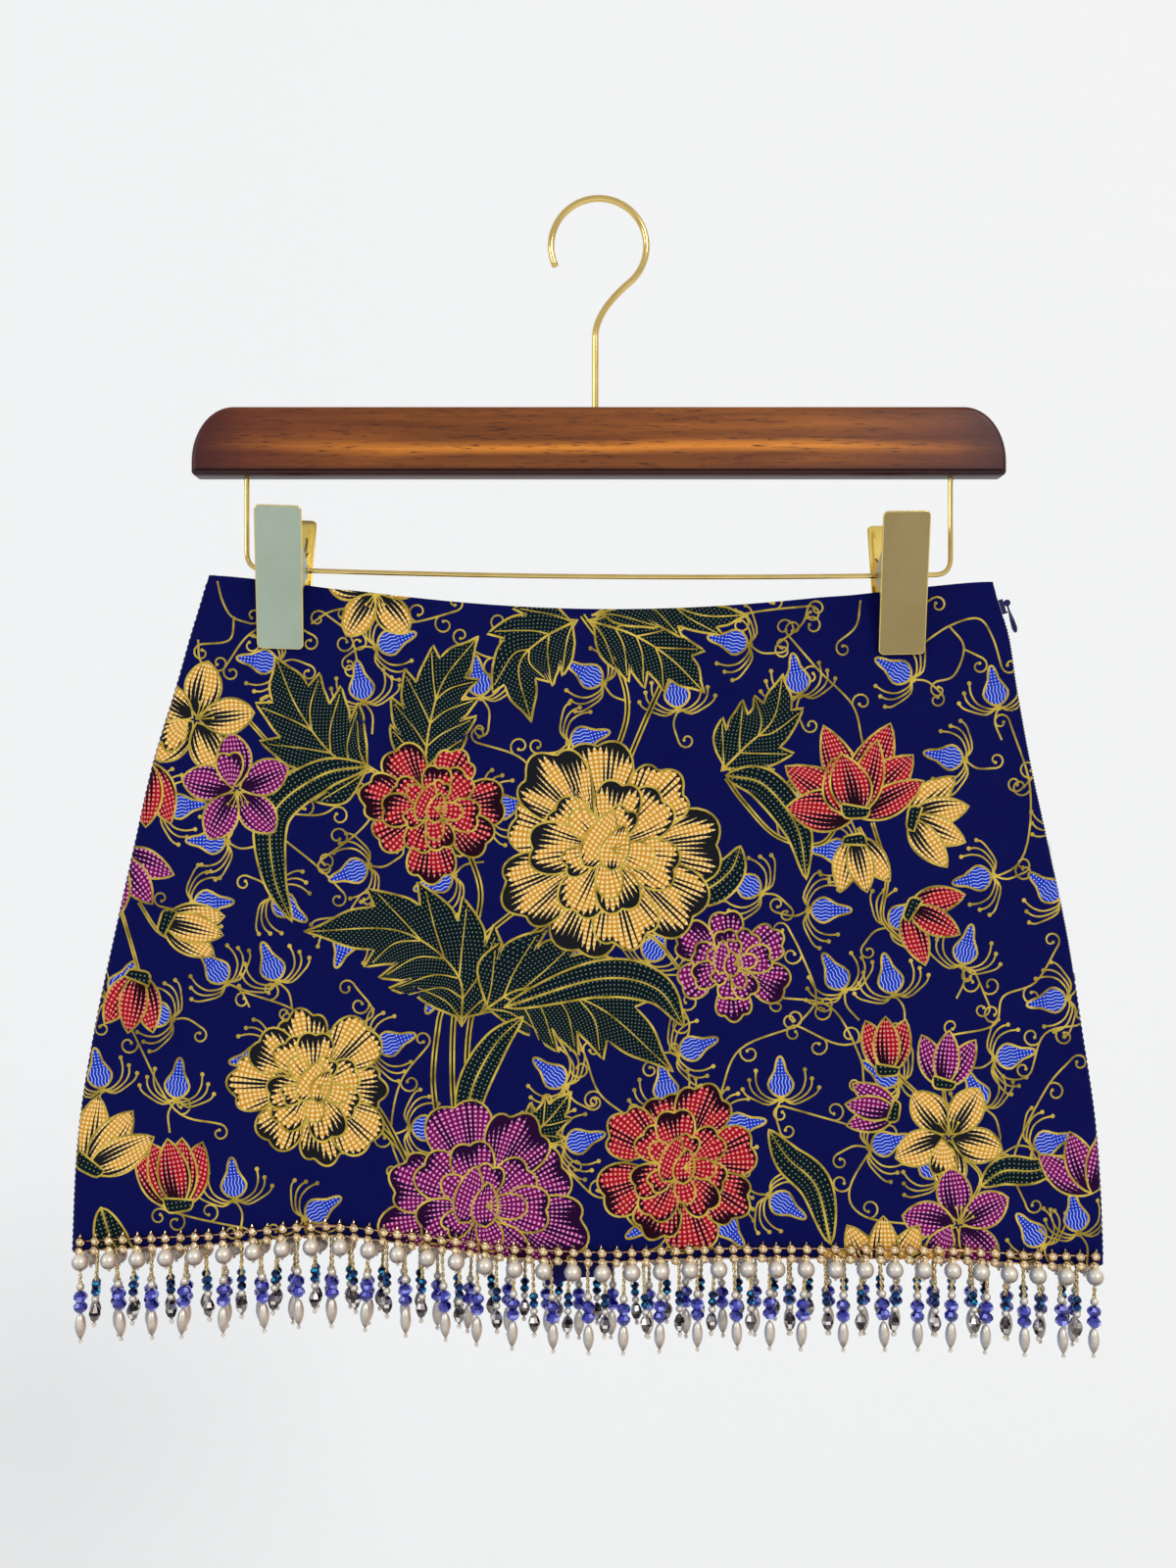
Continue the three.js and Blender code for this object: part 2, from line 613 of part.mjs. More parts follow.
function add(name, geometry, material, parent = skirt) {
  const mesh = new THREE.Mesh(geometry, material);
  mesh.name = name;
  parent.add(mesh);
  return mesh;
}

add('front_panel', panelGeometry('front'), COTTON);
add('back_panel', panelGeometry('back'), COTTON);
add('trim_front', trimGeometry('front'), PEARLS);
add('trim_back', trimGeometry('back'), PEARLS);
add('zip_tape', tapeGeometry(), COTTON);
add('hanger_bar', barGeometry(), WOOD);
add('hook', hookGeometry(), GOLD);
add('wire_bar', wireGeometry(), GOLD);

for (const { name, x } of CLIPS) {
  const clip = new THREE.Group();
  clip.position.set(x, 0, wireHeight(x));
  clip.rotation.y = -wireTilt(x);
  add(`${name}_front_jaw`, jawGeometry(EAR.frontX), SATIN_GOLD, clip);
  add(`${name}_back_jaw`, jawGeometry(EAR.backX), SATIN_GOLD, clip).rotation.z = Math.PI;
  add(`${name}_spring`, springGeometry(), STEEL, clip);
  skirt.add(clip);
}

// The slider and its pull lie along the sloping side seam
const seamPlace = new THREE.Group();
const seamX = sideLine(ZIP.seamHeight, 'right');
const seamBelow = sideLine(ZIP.seamHeight - SLIDER.height / 2, 'right');
const seamAbove = sideLine(ZIP.seamHeight + SLIDER.height / 2, 'right');
const seamSlope = Math.atan((seamBelow - seamAbove) / SLIDER.height);
seamPlace.position.set(seamX, 0, ZIP.seamHeight);
seamPlace.rotation.y = -seamSlope;
add('zip_slider', sliderGeometry(), ENAMEL, seamPlace);
add('zip_pull', pullGeometry(), ENAMEL, seamPlace).position.set(SLIDER.pinOut, 0, SLIDER.pinUp);
skirt.add(seamPlace);

export default skirt;
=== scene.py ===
"""A printed mini skirt with a beaded hem, clipped to a wooden hanger.

Lengths are in millimetres until a mesh is made.
"""
import math

import bpy
import numpy as np
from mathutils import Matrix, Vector
from mathutils.geometry import delaunay_2d_cdt


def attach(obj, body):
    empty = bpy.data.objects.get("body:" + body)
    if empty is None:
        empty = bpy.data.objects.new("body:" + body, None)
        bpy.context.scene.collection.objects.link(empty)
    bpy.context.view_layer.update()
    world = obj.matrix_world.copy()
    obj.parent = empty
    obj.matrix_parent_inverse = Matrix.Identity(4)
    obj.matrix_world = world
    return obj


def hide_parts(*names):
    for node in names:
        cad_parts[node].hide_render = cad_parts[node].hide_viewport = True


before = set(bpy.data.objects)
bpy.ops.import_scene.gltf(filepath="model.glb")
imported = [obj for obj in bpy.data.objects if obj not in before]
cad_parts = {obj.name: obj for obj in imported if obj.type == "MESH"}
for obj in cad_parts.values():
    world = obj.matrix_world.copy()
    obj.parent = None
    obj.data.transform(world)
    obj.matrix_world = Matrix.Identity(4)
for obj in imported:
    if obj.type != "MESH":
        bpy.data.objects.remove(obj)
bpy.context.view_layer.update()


# The form of the hung cloth: two panels joined at the sides, each a flat face with a soft roll at its side
# seams, dipping at the waist, bowed out at the hem and pinched flat under the two clips. These functions
# give the middle of the cloth at a place in its flat cut, x across and z up.
SIDE_ROWS = [
    (160, -167, 168.2), (172, -170.5, 171.3), (186, -174.8, 175.6), (208, -181, 179), (241, -191, 185),
    (275, -198.7, 192.4), (313, -207.1, 200.4), (355, -216, 207), (397, -222.6, 213), (443, -225.2, 215.7),
    (500, -226, 216.5),
]
HEM_ROWS = [
    (-226, -444.2, -446), (-165, -440.5, -443), (-118, -436.9, -442), (-80, -440.3, -444),
    (-40, -445.1, -446.5), (0, -446.9, -448), (60, -446.2, -447), (140, -446, -446),
    (190, -449.6, -448.5), (217, -450.4, -450),
]
HEM_LEFT = -226
HEM_WIDTH = 443
HEM_AT_SIDE = -444.2
WAIST_LEFT = -160.5
WAIST_RIGHT = -163.3
WAIST_DIP = 13.4
HEM_ALLOWANCE = 4.4
FOLDS = {
    "front": [(-118, 34, 2.4, -300, 0.05), (-20, 42, -1.3, -250, -0.04), (62, 30, 1.5, -280, 0.06),
              (150, 28, -1.2, -230, 0.1)],
    "back": [(-90, 36, -1.4, -260, 0.05), (10, 40, 1.8, -290, 0.03), (105, 32, 1.6, -240, -0.06)],
}
CLIP_PLACES = [(-134.8, -155.4), (128.8, -157.7)]


def read_rows(rows, column, at):
    """A smooth curve through rows of values."""
    keys = np.array([row[0] for row in rows], float)
    values = np.array([row[column] for row in rows], float)
    before = np.r_[0, np.arange(len(keys) - 1)]
    after = np.r_[np.arange(1, len(keys)), len(keys) - 1]
    slopes = (values[after] - values[before]) / (keys[after] - keys[before])
    at = np.clip(at, keys[0], keys[-1])
    i = np.clip(np.searchsorted(keys, at, side="right") - 1, 0, len(keys) - 2)
    span = keys[i + 1] - keys[i]
    t = (at - keys[i]) / span
    start = values[i] * (2 * t**3 - 3 * t**2 + 1) + slopes[i] * span * (t**3 - 2 * t**2 + t)
    return start + values[i + 1] * (3 * t**2 - 2 * t**3) + slopes[i + 1] * span * (t**3 - t**2)


def soft(share):
    """A share from 0 to 1 that starts and ends gently."""
    share = np.clip(share, 0, 1)
    return share * share * (3 - 2 * share)


def hump(distance):
    return np.exp(-distance * distance)


def drop(z):
    """How far down the skirt a height is, 0 at the waist and 1 at the hem."""
    return soft((WAIST_LEFT - z) / (WAIST_LEFT - HEM_ROWS[0][1]))


def fold_radius(z):
    return 2.2 + 1.4 * drop(z)


def side_left(z):
    return read_rows(SIDE_ROWS, 1, -z) + 0.6


def side_right(z):
    return read_rows(SIDE_ROWS, 2, -z) - 0.6


def waist_height(across):
    level = WAIST_LEFT + (WAIST_RIGHT - WAIST_LEFT) * (across + 1) / 2
    return level - WAIST_DIP * (1 - across**2).clip(0)**1.5


def trim_height(across, panel):
    return read_rows(HEM_ROWS, 1 if panel == "front" else 2, HEM_LEFT + HEM_WIDTH * (across + 1) / 2)


def cloth_middle(x, z, panel):
    left, right, radius = side_left(z), side_right(z), fold_radius(z)
    share = (x - left - radius) / (right - left - 2 * radius)
    plateau = soft(np.minimum(share, 1 - share) / 0.22)
    out = 0.15 + radius + (3.2 + 1.2 * drop(z)) * plateau
    for centre, width, depth, starts, lean in FOLDS[panel]:
        away = (x - centre - lean * (z - starts)) / width
        out = out - depth * hump(away) * soft((starts - z) / 110) * plateau
    # small waves of a cotton that has been pressed, and a dent beside each clip
    waves = 0.32 * np.sin(x / 19 + z / 47 + 1.1) * np.sin(z / 31 - x / 88) + 0.16 * np.sin(x / 7.3 - z / 23)
    if panel == "front":
        waves = waves - 0.75 * hump(((x - 164) * 0.85 + (z + 189) * 0.5) / 3.4) * hump((x - 163) / 12)
        waves = waves - 0.5 * hump(((x + 158) * 0.8 - (z + 196) * 0.55) / 4) * hump((x + 158) / 13)
    out = out + waves * plateau * soft((-171 - z) / 25) * soft((z + 452) / 10 + 0.35)
    for at, wire in CLIP_PLACES:
        beside = soft((np.abs(x - at) - 17) / 20)
        below = soft((wire - 34 - z) / 46)
        out = 0.75 + (out - 0.75) * (1 - (1 - beside) * (1 - below))
    from_left = (left + radius - x) / radius
    from_right = (x - right + radius) / radius
    turned = np.maximum(from_left, from_right).clip(0)
    angle = math.pi / 2 - turned
    inwards = radius * (1 - np.cos(angle))
    rolled_x = np.where(from_left > from_right, left + inwards, right - inwards)
    rolled_y = 0.05 + (radius + 0.1) * np.sin(angle)
    out = np.where(turned > 0, rolled_y, out)
    x = np.where(turned > 0, rolled_x, x)
    return np.stack([x, -out if panel == "front" else out, z + 0 * x], -1)


def cloth_point(x, z, panel, outwards=0.0):
    """A point on the cloth, or that far outside its middle."""
    x, z = np.broadcast_arrays(np.asarray(x, float), np.asarray(z, float))
    along = cloth_middle(x + 0.3, z, panel) - cloth_middle(x - 0.3, z, panel)
    up = cloth_middle(x, z + 0.3, panel) - cloth_middle(x, z - 0.3, panel)
    normal = np.cross(along, up) * (1 if panel == "front" else -1)
    normal /= np.linalg.norm(normal, axis=-1, keepdims=True)
    return cloth_middle(x, z, panel) + normal * np.asarray(outwards)[..., None]


def across_at(x, z):
    """Where a place lies across its panel, -1 at the left seam and 1 at the right one."""
    left, right, radius = side_left(z), side_right(z), fold_radius(z)
    return np.clip((x - left - radius) / (right - left - 2 * radius), 0, 1) * 2 - 1


# How the finishes are mixed: a socket of a shader that adds Math nodes when it is used in a sum, and the
# material that the sockets belong to.
class Tone:
    def __init__(self, tree, socket):
        self.tree = tree
        self.socket = socket

    def maths(self, operation, first, second=0.0, third=0.0):
        made = self.tree.nodes.new("ShaderNodeMath")
        made.operation = operation
        for socket, value in zip(made.inputs, (first, second, third)):
            if isinstance(value, Tone):
                self.tree.links.new(value.socket, socket)
            else:
                socket.default_value = value
        return Tone(self.tree, made.outputs[0])

    def __add__(self, other):
        return self.maths("ADD", self, other)

    def __radd__(self, other):
        return self.maths("ADD", other, self)

    def __sub__(self, other):
        return self.maths("SUBTRACT", self, other)

    def __rsub__(self, other):
        return self.maths("SUBTRACT", other, self)

    def __mul__(self, other):
        return self.maths("MULTIPLY", self, other)

    def __rmul__(self, other):
        return self.maths("MULTIPLY", other, self)

    def __truediv__(self, other):
        return self.maths("DIVIDE", self, other)

    def __gt__(self, other):
        return self.maths("GREATER_THAN", self, other)

    def __lt__(self, other):
        return self.maths("LESS_THAN", self, other)

    def __abs__(self):
        return self.maths("ABSOLUTE", self)

    def fraction(self):
        return self.maths("FRACT", self)

    def sine(self):
        return self.maths("SINE", self)

    def root(self):
        return self.maths("SQRT", self)

    def clipped(self):
        held = self.maths("MULTIPLY_ADD", self, 1.0, 0.0)
        held.socket.node.use_clamp = True
        return held


class Finish:
    """A material: constants are set on the shader, and what varies is added with node and paint."""

    def __init__(self, name, **constants):
        self.material = bpy.data.materials.new(name)
        self.material.use_nodes = True
        self.tree = self.material.node_tree
        self.shader = self.tree.nodes["Principled BSDF"]
        for socket, value in constants.items():
            self.shader.inputs[socket.replace("_", " ")].default_value = value

    def node(self, kind, settings=None, output=0, **sockets):
        """A node of any kind. A socket is named, or given as s and its number."""
        made = self.tree.nodes.new("ShaderNode" + kind)
        for name, value in (settings or {}).items():
            setattr(made, name, value)
        for name, value in sockets.items():
            key = int(name[1:]) if name[1:].isdigit() else name.replace("_", " ")
            if isinstance(value, Tone):
                self.tree.links.new(value.socket, made.inputs[key])
            else:
                made.inputs[key].default_value = value
        return Tone(self.tree, made.outputs[output])

    def mix(self, amount, first, second):
        """A colour between two."""
        return self.node("Mix", {"data_type": "RGBA"}, output=2, s0=amount, s6=first, s7=second)

    def place(self):
        return self.node("TexCoord", output="Object")

    def noise(self, size_mm, detail=2.0, stretch=(1, 1, 1)):
        """Soft grain whose patches are about that big."""
        scale = [s / size_mm * 1000 for s in stretch]
        placed = self.node("Mapping", s0=self.place(), s3=scale)
        return self.node("TexNoise", output=0, Vector=placed, Scale=1.0, Detail=detail, Roughness=0.55)

    def paint(self, **sockets):
        for name, value in sockets.items():
            self.tree.links.new(value.socket, self.shader.inputs[name.replace("_", " ")])

    def relief(self, height, distance_mm, strength=1.0):
        bump = self.node("Bump", Height=height, Distance=distance_mm / 1000, Strength=strength)
        self.paint(Normal=bump)


def hue(red, green, blue):
    """A colour given as on a screen, 0 to 255, in the linear values that shaders use."""
    linear = []
    for c in (red, green, blue):
        linear.append((c / 255 / 12.92) if c <= 10 else ((c / 255 + 0.055) / 1.055) ** 2.4)
    return (*linear, 1.0)


def make_piece(name, points, faces, finish, body="skirt", smooth=True):
    """A mesh object from points in millimetres, riding on its body."""
    mesh = bpy.data.meshes.new(name)
    mesh.from_pydata((np.asarray(points, float) / 1000).tolist(), [], [tuple(face) for face in faces])
    mesh.materials.append(finish.material)
    mesh.polygons.foreach_set("use_smooth", np.full(len(mesh.polygons), smooth))
    mesh.update()
    piece = bpy.data.objects.new(name, mesh)
    bpy.context.collection.objects.link(piece)
    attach(piece, body)
    return piece


# The print: flowers, leaves, buds and vines drawn in gold line on navy and filled with rows of dots. Every
# shape is laid over the ones before it, as the printed colours are, and carries the run of its own dots
# and streaks.
DOT_PITCH = 1.9
WAVE_PITCH = 1.45
HALF_LINE = 0.39
navy = hue(2, 6, 70)
gold_ink = hue(190, 158, 56)
stem_ink = hue(2, 18, 20)
yellow = {"ink": hue(208, 144, 40), "deep": hue(20, 22, 18), "spots": hue(242, 216, 150)}
red = {"ink": hue(160, 8, 20), "deep": hue(30, 0, 6), "spots": hue(230, 142, 130)}
magenta = {"ink": hue(112, 6, 76), "deep": hue(34, 0, 40), "spots": hue(220, 144, 196)}
teal = {"ink": hue(2, 18, 18), "deep": hue(2, 12, 14), "spots": hue(116, 132, 104)}
blue = {"ink": hue(24, 52, 178), "deep": hue(20, 40, 150), "spots": hue(200, 214, 246)}
drawn = []


def lay(outline, ink, weave=None, streaks=(0, 0, 0), deep=navy, spots=navy, dotted=0.0, waved=0.0, gilt=0.0):
    """One printed shape. Streaks are how far the dark ones reach from the foot and the tip, and a seed."""
    outline = np.asarray(outline, float)
    after = np.roll(outline, -1, 0)
    if np.sum(outline[:, 0] * after[:, 1] - outline[:, 1] * after[:, 0]) < 0:
        outline = outline[::-1]
    drawn.append({"outline": outline, "ink": (*ink[:3], waved), "deep": (*deep[:3], gilt),
                  "spots": (*spots[:3], dotted), "weave": weave, "streaks": streaks})


def widened(outline, by):
    """An outline moved outwards."""
    outline = np.asarray(outline, float)
    before, after = np.roll(outline, 1, 0), np.roll(outline, -1, 0)
    turn = 1 if np.sum(outline[:, 0] * after[:, 1] - outline[:, 1] * after[:, 0]) > 0 else -1
    along = after - before
    out = np.stack([along[:, 1], -along[:, 0]], -1) * turn
    return outline + by * out / np.maximum(np.linalg.norm(out, axis=1, keepdims=True), 1e-6)


def rimmed(outline, colours, weave, streaks=(0, 0, 0), rim=0.9, dotted=0.28, waved=0.0):
    """A filled shape with its gold outline."""
    lay(widened(outline, rim * 0.55), gold_ink, gilt=1.0)
    dotted += 0.06 if colours is yellow else 0
    lay(widened(outline, -rim * 0.45), weave=weave, streaks=streaks, dotted=dotted, waved=waved, **colours)


def curve(points, steps=6):
    """A smooth line through some points."""
    points = np.asarray(points, float)
    padded = np.concatenate([2 * points[:1] - points[1:2], points, 2 * points[-1:] - points[-2:-1]])
    t = np.linspace(0, 1, steps, endpoint=False)[:, None]
    runs = []
    for a, b, c, d in zip(padded, padded[1:], padded[2:], padded[3:]):
        runs.append(0.5 * (2 * b + (c - a) * t + (2 * a - 5 * b + 4 * c - d) * t**2
                           + (3 * b - a - 3 * c + d) * t**3))
    return np.concatenate([*runs, points[-1:]])


def stroke(path, width=1.15, ends=(1.0, 1.0), ink=gold_ink, gilt=1.0):
    """A drawn line, gold if nothing else is asked for, whose width may change from end to end."""
    path = np.asarray(path, float)
    along = np.gradient(path, axis=0)
    side = np.stack([-along[:, 1], along[:, 0]], -1)
    side /= np.maximum(np.linalg.norm(side, axis=1, keepdims=True), 1e-6)
    half = HALF_LINE * width * np.linspace(ends[0], ends[1], len(path))[:, None]
    lay(np.concatenate([path + side * half, (path - side * half)[::-1]]), ink, gilt=gilt)


def blot(x, z, radius, sides=8):
    """A round gold spot."""
    angle = np.arange(sides) * 2 * math.pi / sides
    lay(np.stack([x + radius * np.cos(angle), z + radius * np.sin(angle)], -1), gold_ink, gilt=1.0)


def placed(local, x, z, heading, size=1.0):
    """A small drawing turned to a heading in degrees and set down at a place."""
    local = np.asarray(local, float) * size
    c, s = math.cos(math.radians(heading)), math.sin(math.radians(heading))
    return np.stack([x + local[:, 0] * c - local[:, 1] * s, z + local[:, 0] * s + local[:, 1] * c], -1)


def unplaced(points, x, z, heading):
    """The other way round: places on the cloth as they are in the small drawing."""
    c, s = math.cos(math.radians(heading)), math.sin(math.radians(heading))
    dx, dz = points[:, 0] - x, points[:, 1] - z
    return dx * c + dz * s, -dx * s + dz * c


def fan_petal(x, z, heading, length, spread, lobes, colours, streaks, blunt=0.36, notch=0.15):
    """A broad petal whose outer edge is scalloped. Its rows of dots fan out from its foot."""
    def reach(s):
        edge = 1 - notch + notch * np.abs(np.sin(lobes * (s + 1) * math.pi / 2))
        return length * np.cos(s * math.pi / 2).clip(1e-3)**blunt * edge

    s = np.linspace(-1, 1, 8 * lobes + 5)[:-1]
    edge_points = np.stack([reach(s) * np.cos(s * spread), reach(s) * np.sin(s * spread)], -1)
    outline = placed(edge_points, x, z, heading)
    lines = max(3, round(2 * spread * length * 0.66 / DOT_PITCH))

    def weave(points):
        u, v = unplaced(points, x, z, heading)
        far, angle = np.hypot(u, v), np.arctan2(v, u)
        edge = reach((angle / spread).clip(-0.96, 0.96))
        return np.stack([far / edge, angle / spread * lines / 2, far / DOT_PITCH], -1)

    rimmed(outline, colours, weave, streaks)


def blade_petal(x, z, heading, length, width, colours, streaks, bend=0.0, fullness=0.75, skew=0.8, rim=0.9):
    """A pointed petal. Its rows of dots run from its foot to its tip."""
    t = np.linspace(0, 1, 13)
    half = width / 2 * np.sin(math.pi * t**skew).clip(0)**fullness
    middle = bend * length * t**2
    left = np.stack([length * t, middle + half], -1)
    right = np.stack([length * t, middle - half], -1)
    outline = placed(np.concatenate([left, right[-2:0:-1]]), x, z, heading)
    lines = max(2, round(width / DOT_PITCH))

    def weave(points):
        u, v = unplaced(points, x, z, heading)
        share = (u / length).clip(0, 1)
        v = v - bend * length * share**2
        room = 0.3 + 0.7 * np.sin(math.pi * share**skew).clip(0)**fullness
        return np.stack([share, v / width * lines / room, u / DOT_PITCH], -1)

    rimmed(outline, colours, weave, streaks, rim)


def peony(x, z, size, colours, turn, petals=8, flat=1.0, seed=1):
    """A full double flower: three rings of petals about a curled heart."""
    for i in [*range(0, petals, 2), *range(1, petals, 2)]:
        heading = turn + 360 * i / petals + 7 * math.sin(seed * 2.1 + i * 1.7)
        out = 0.16 * size
        at = (x + out * math.cos(math.radians(heading)), z + out * flat * math.sin(math.radians(heading)))
        long = size * (0.85 + 0.08 * math.sin(seed + i * 2.3))
        fan_petal(*at, heading, long, 0.66 + 0.05 * math.sin(i * 3.1), 2 + (i + seed) % 2, colours,
                  (1.25, 0.1 + 0.24 * ((i + seed) % 3), i), blunt=0.24, notch=0.1)
    for i in [*range(0, 7, 2), *range(1, 7, 2)]:
        heading = turn + 24 + 360 / 7 * i + 8 * math.sin(seed + i * 2.9)
        fan_petal(x, z, heading, size * (0.68 + 0.06 * math.sin(i * 1.9 + seed)), 0.6, 2, colours,
                  (1.0, 0.2 + 0.3 * (i % 2), i + 3), blunt=0.28, notch=0.1)
    for i in range(5):
        heading = turn - 20 + 72 * i
        fan_petal(x, z, heading, size * 0.45, 0.62, 1 + i % 2, colours,
                  (0.85, 0.34 * (i % 2), i + 5), blunt=0.42)
    blade_petal(x - 0.2 * size, z - 0.16 * size, turn + 42, size * 0.56, size * 0.3, colours,
                (0.3, 0.2, 2), 0.2)
    blade_petal(x + 0.05 * size, z - 0.2 * size, turn + 78, size * 0.42, size * 0.26, colours,
                (0.3, 0.3, 4), -0.2)
    heart = x + 0.05 * size
    for i in range(5):
        heading = math.radians(turn - 60 + 22 * i)
        end = (heart + 0.17 * size * math.cos(heading), z + 0.17 * size * math.sin(heading))
        stroke(curve([(heart, z), end], 3), 0.6)


def calyx(x, z, heading, size):
    """The dotted green heart at the foot of a bud or flower."""
    s = np.linspace(-1, 1, 12)[:-1]
    heart = np.stack([size * (1 - 0.3 * np.cos(s * math.pi)) * np.cos(s * 1.9 + math.pi) + size * 0.5,
                      size * 1.05 * np.sin(s * 1.9 + math.pi)], -1)
    outline = placed(heart, x, z, heading)

    def weave(points):
        u, v = unplaced(points, x, z, heading)
        return np.stack([0.5 + 0 * u, v / DOT_PITCH, u / DOT_PITCH], -1)

    rimmed(outline, teal, weave, rim=0.9, dotted=0.17)


def lotus(x, z, size, colours, heading):
    """A half-open flower with pointed petals, drawn from the back ones to the front ones."""
    for turn, long, wide, bend in [(12, 1.12, 0.42, 0.1), (-14, 1.15, 0.5, -0.16), (44, 1.0, 0.46, 0.16),
                                   (-40, 0.98, 0.5, -0.1), (78, 0.82, 0.5, 0.05), (-72, 0.9, 0.36, 0.12),
                                   (26, 0.72, 0.5, -0.1), (-24, 0.92, 0.36, 0.1), (4, 0.74, 0.48, 0.12)]:
        blade_petal(x, z, heading + turn, size * long, size * wide, colours,
                    (1.15, 0.1, turn), bend, 0.8, 0.92)
    calyx(x, z, heading, size * 0.16)


def lily(x, z, size, colours, heading, petals=5):
    """An open flower seen from the front, with a dark throat and gold stamens."""
    for i in range(petals):
        turn = heading + 360 / petals * (i + 0.5)
        at = (x + 0.06 * size * math.cos(math.radians(turn)), z + 0.06 * size * math.sin(math.radians(turn)))
        blade_petal(*at, turn, size * 0.95, size * 0.62, colours, (1.1, 0, i), 0.04, 0.7, 1.1)
    for i in range(5):
        turn = math.radians(heading + 18 * (i - 2))
        end = (x + 0.3 * size * math.cos(turn), z + 0.3 * size * math.sin(turn))
        stroke(curve([(x, z), ((x + end[0]) / 2 + 0.5, (z + end[1]) / 2), end], 3), 0.6)
        blot(*end, 0.7, 6)
    fan_petal(x - 0.1 * size, z, heading + 180, size * 0.72, 0.72, 2, colours, (0.1, 0.42, 1), 0.42)


def bud_cluster(x, z, size, colours, heading, turns, leafy=True):
    """A few pointed petals side by side on one foot."""
    for turn in turns:
        blade_petal(x, z, heading + turn, size, size * 0.46, colours,
                    (1.0, 0.1, turn), -turn / 400, 0.8, 0.95, 0.9)
    if leafy:
        calyx(x, z, heading, size * 0.2)


def along_path(path, points):
    """How far along a path each point lies, as a share and in millimetres, and how far to its left."""
    steps = np.diff(path, axis=0)
    run = np.r_[0, np.cumsum(np.linalg.norm(steps, axis=1))]
    nearest = np.argmin(np.linalg.norm(points[:, None] - path[None], axis=2), axis=1)
    tangent = np.gradient(path, axis=0)[nearest]
    tangent /= np.linalg.norm(tangent, axis=1, keepdims=True)
    away = points - path[nearest]
    far = run[nearest] + (away * tangent).sum(1)
    return far / run[-1], far, tangent[:, 0] * away[:, 1] - tangent[:, 1] * away[:, 0]


def leaf(spine, width, teeth):
    """A dark leaf on a curved midrib: toothed where teeth are asked for, with a gold vein to each tooth."""
    path = curve(spine, 10)
    along = np.gradient(path, axis=0)
    along /= np.linalg.norm(along, axis=1, keepdims=True)
    side = np.stack([-along[:, 1], along[:, 0]], -1)
    t = np.linspace(0, 1, len(path))
    length = np.sum(np.linalg.norm(np.diff(path, axis=0), axis=1))

    def at(share, out, ahead=0.0):
        i = np.clip(share * (len(path) - 1), 0, len(path) - 1)
        spot = np.stack([np.interp(i, range(len(path)), path[:, k]) for k in (0, 1)], -1)
        left = np.stack([np.interp(i, range(len(path)), side[:, k]) for k in (0, 1)], -1)
        ahead = np.stack([np.interp(i, range(len(path)), along[:, k]) for k in (0, 1)], -1) * ahead
        return spot + left * out + ahead

    veins = []
    sides = {}
    for hand in (1, -1):
        if teeth:
            def envelope(share):
                return hand * width / 2 * math.sin(math.pi * min(share, 0.99)**0.82)**0.8

            points = [at(0.0, 0), at(0.06, hand * width * 0.05)]
            for k in range(teeth):
                foot = 0.1 + 0.66 * k / teeth
                tip = 0.1 + 0.66 * (k + 1) / teeth
                low, full = 0.7 * envelope(foot + 0.05), envelope(tip)
                lobe = [at(foot, low), at(foot + 0.3 * (tip - foot), low + 0.62 * (full - low)),
                        at(foot + 0.72 * (tip - foot), low + 0.98 * (full - low)),
                        at(tip, full * 1.1, length * 0.055)]
                points += list(curve(lobe, 4))
                veins.append([at(foot - 0.06, 0), at(foot + 0.05, full * 0.36),
                              at(tip - 0.02, full * 0.97, length * 0.035)])
            points += list(curve([at(0.77, envelope(0.77) * 0.62), at(0.86, envelope(0.88) * 0.86),
                                  at(0.95, envelope(0.95) * 0.62), at(1.0, 0, length * 0.02)], 4))
        else:
            half = width / 2 * np.sin(math.pi * t**0.85).clip(0)**0.8
            points = list(path + side * half[:, None] * hand)
        sides[hand] = points
    outline = np.array([*sides[1], *sides[-1][-2:0:-1]])
    slant = 0.75 if teeth else 0.0
    fine = curve(spine, 40)

    def weave(points):
        share, far, out = along_path(fine, points)
        out = np.abs(out)
        return np.stack([share, (out - slant * far) / DOT_PITCH, (slant * out + far) / DOT_PITCH], -1)

    rimmed(outline, teal, weave, rim=0.95, dotted=0.17)
    for vein in veins:
        stroke(curve(vein, 4), 0.95, (1, 0.55))
    stroke(path, 1.15, (1.2, 0.5))


def stem(points, width=3.0):
    """A stalk: two gold lines with green between."""
    path = curve(points, 7)
    stroke(path, width)
    between_lines = width - 1.9
    stroke(path, between_lines, ink=stem_ink, gilt=0.0)


def blue_bud(x, z, heading, size=1.17):
    """A pear-shaped bud with a fan of round-tipped threads on each side of its foot."""
    for hand in (1, -1):
        for k in range(3):
            path = [(-6.6, 0), (-7.0 - 0.9 * k, hand * (3.0 + 0.8 * k)),
                    (-4.4 - 1.1 * k, hand * (7.2 + 1.5 * k)), (-0.4 - 2.2 * k, hand * (8.9 + 2.0 * k)),
                    (3.6 - 3.3 * k, hand * (8.8 + 2.5 * k))]
            line = placed(curve(path, 3), x, z, heading, size)
            stroke(line, 0.95)
            blot(*line[-1], 0.95, 7)
    foot, length = -6, 14.5
    t = (1 - np.cos(np.linspace(0, math.pi, 14))) / 2
    half = 10.4 * np.sqrt(t * (1 - t)) * (1 - 0.62 * soft((t - 0.22) / 0.5))
    one_side = np.stack([foot + length * t, half], -1)
    other_side = np.stack([foot + length * t, -half], -1)
    shape = np.concatenate([one_side, other_side[-2:0:-1]])

    def weave(points):
        u, v = unplaced(points, x, z, heading)
        return np.stack([(u / size - foot) / length, v / WAVE_PITCH, u / WAVE_PITCH], -1)

    rimmed(placed(shape, x, z, heading, size), blue, weave, waved=1.0, rim=0.95, dotted=0.19)
    blot(*placed([(-6.9, 0)], x, z, heading, size)[0], 1.5)


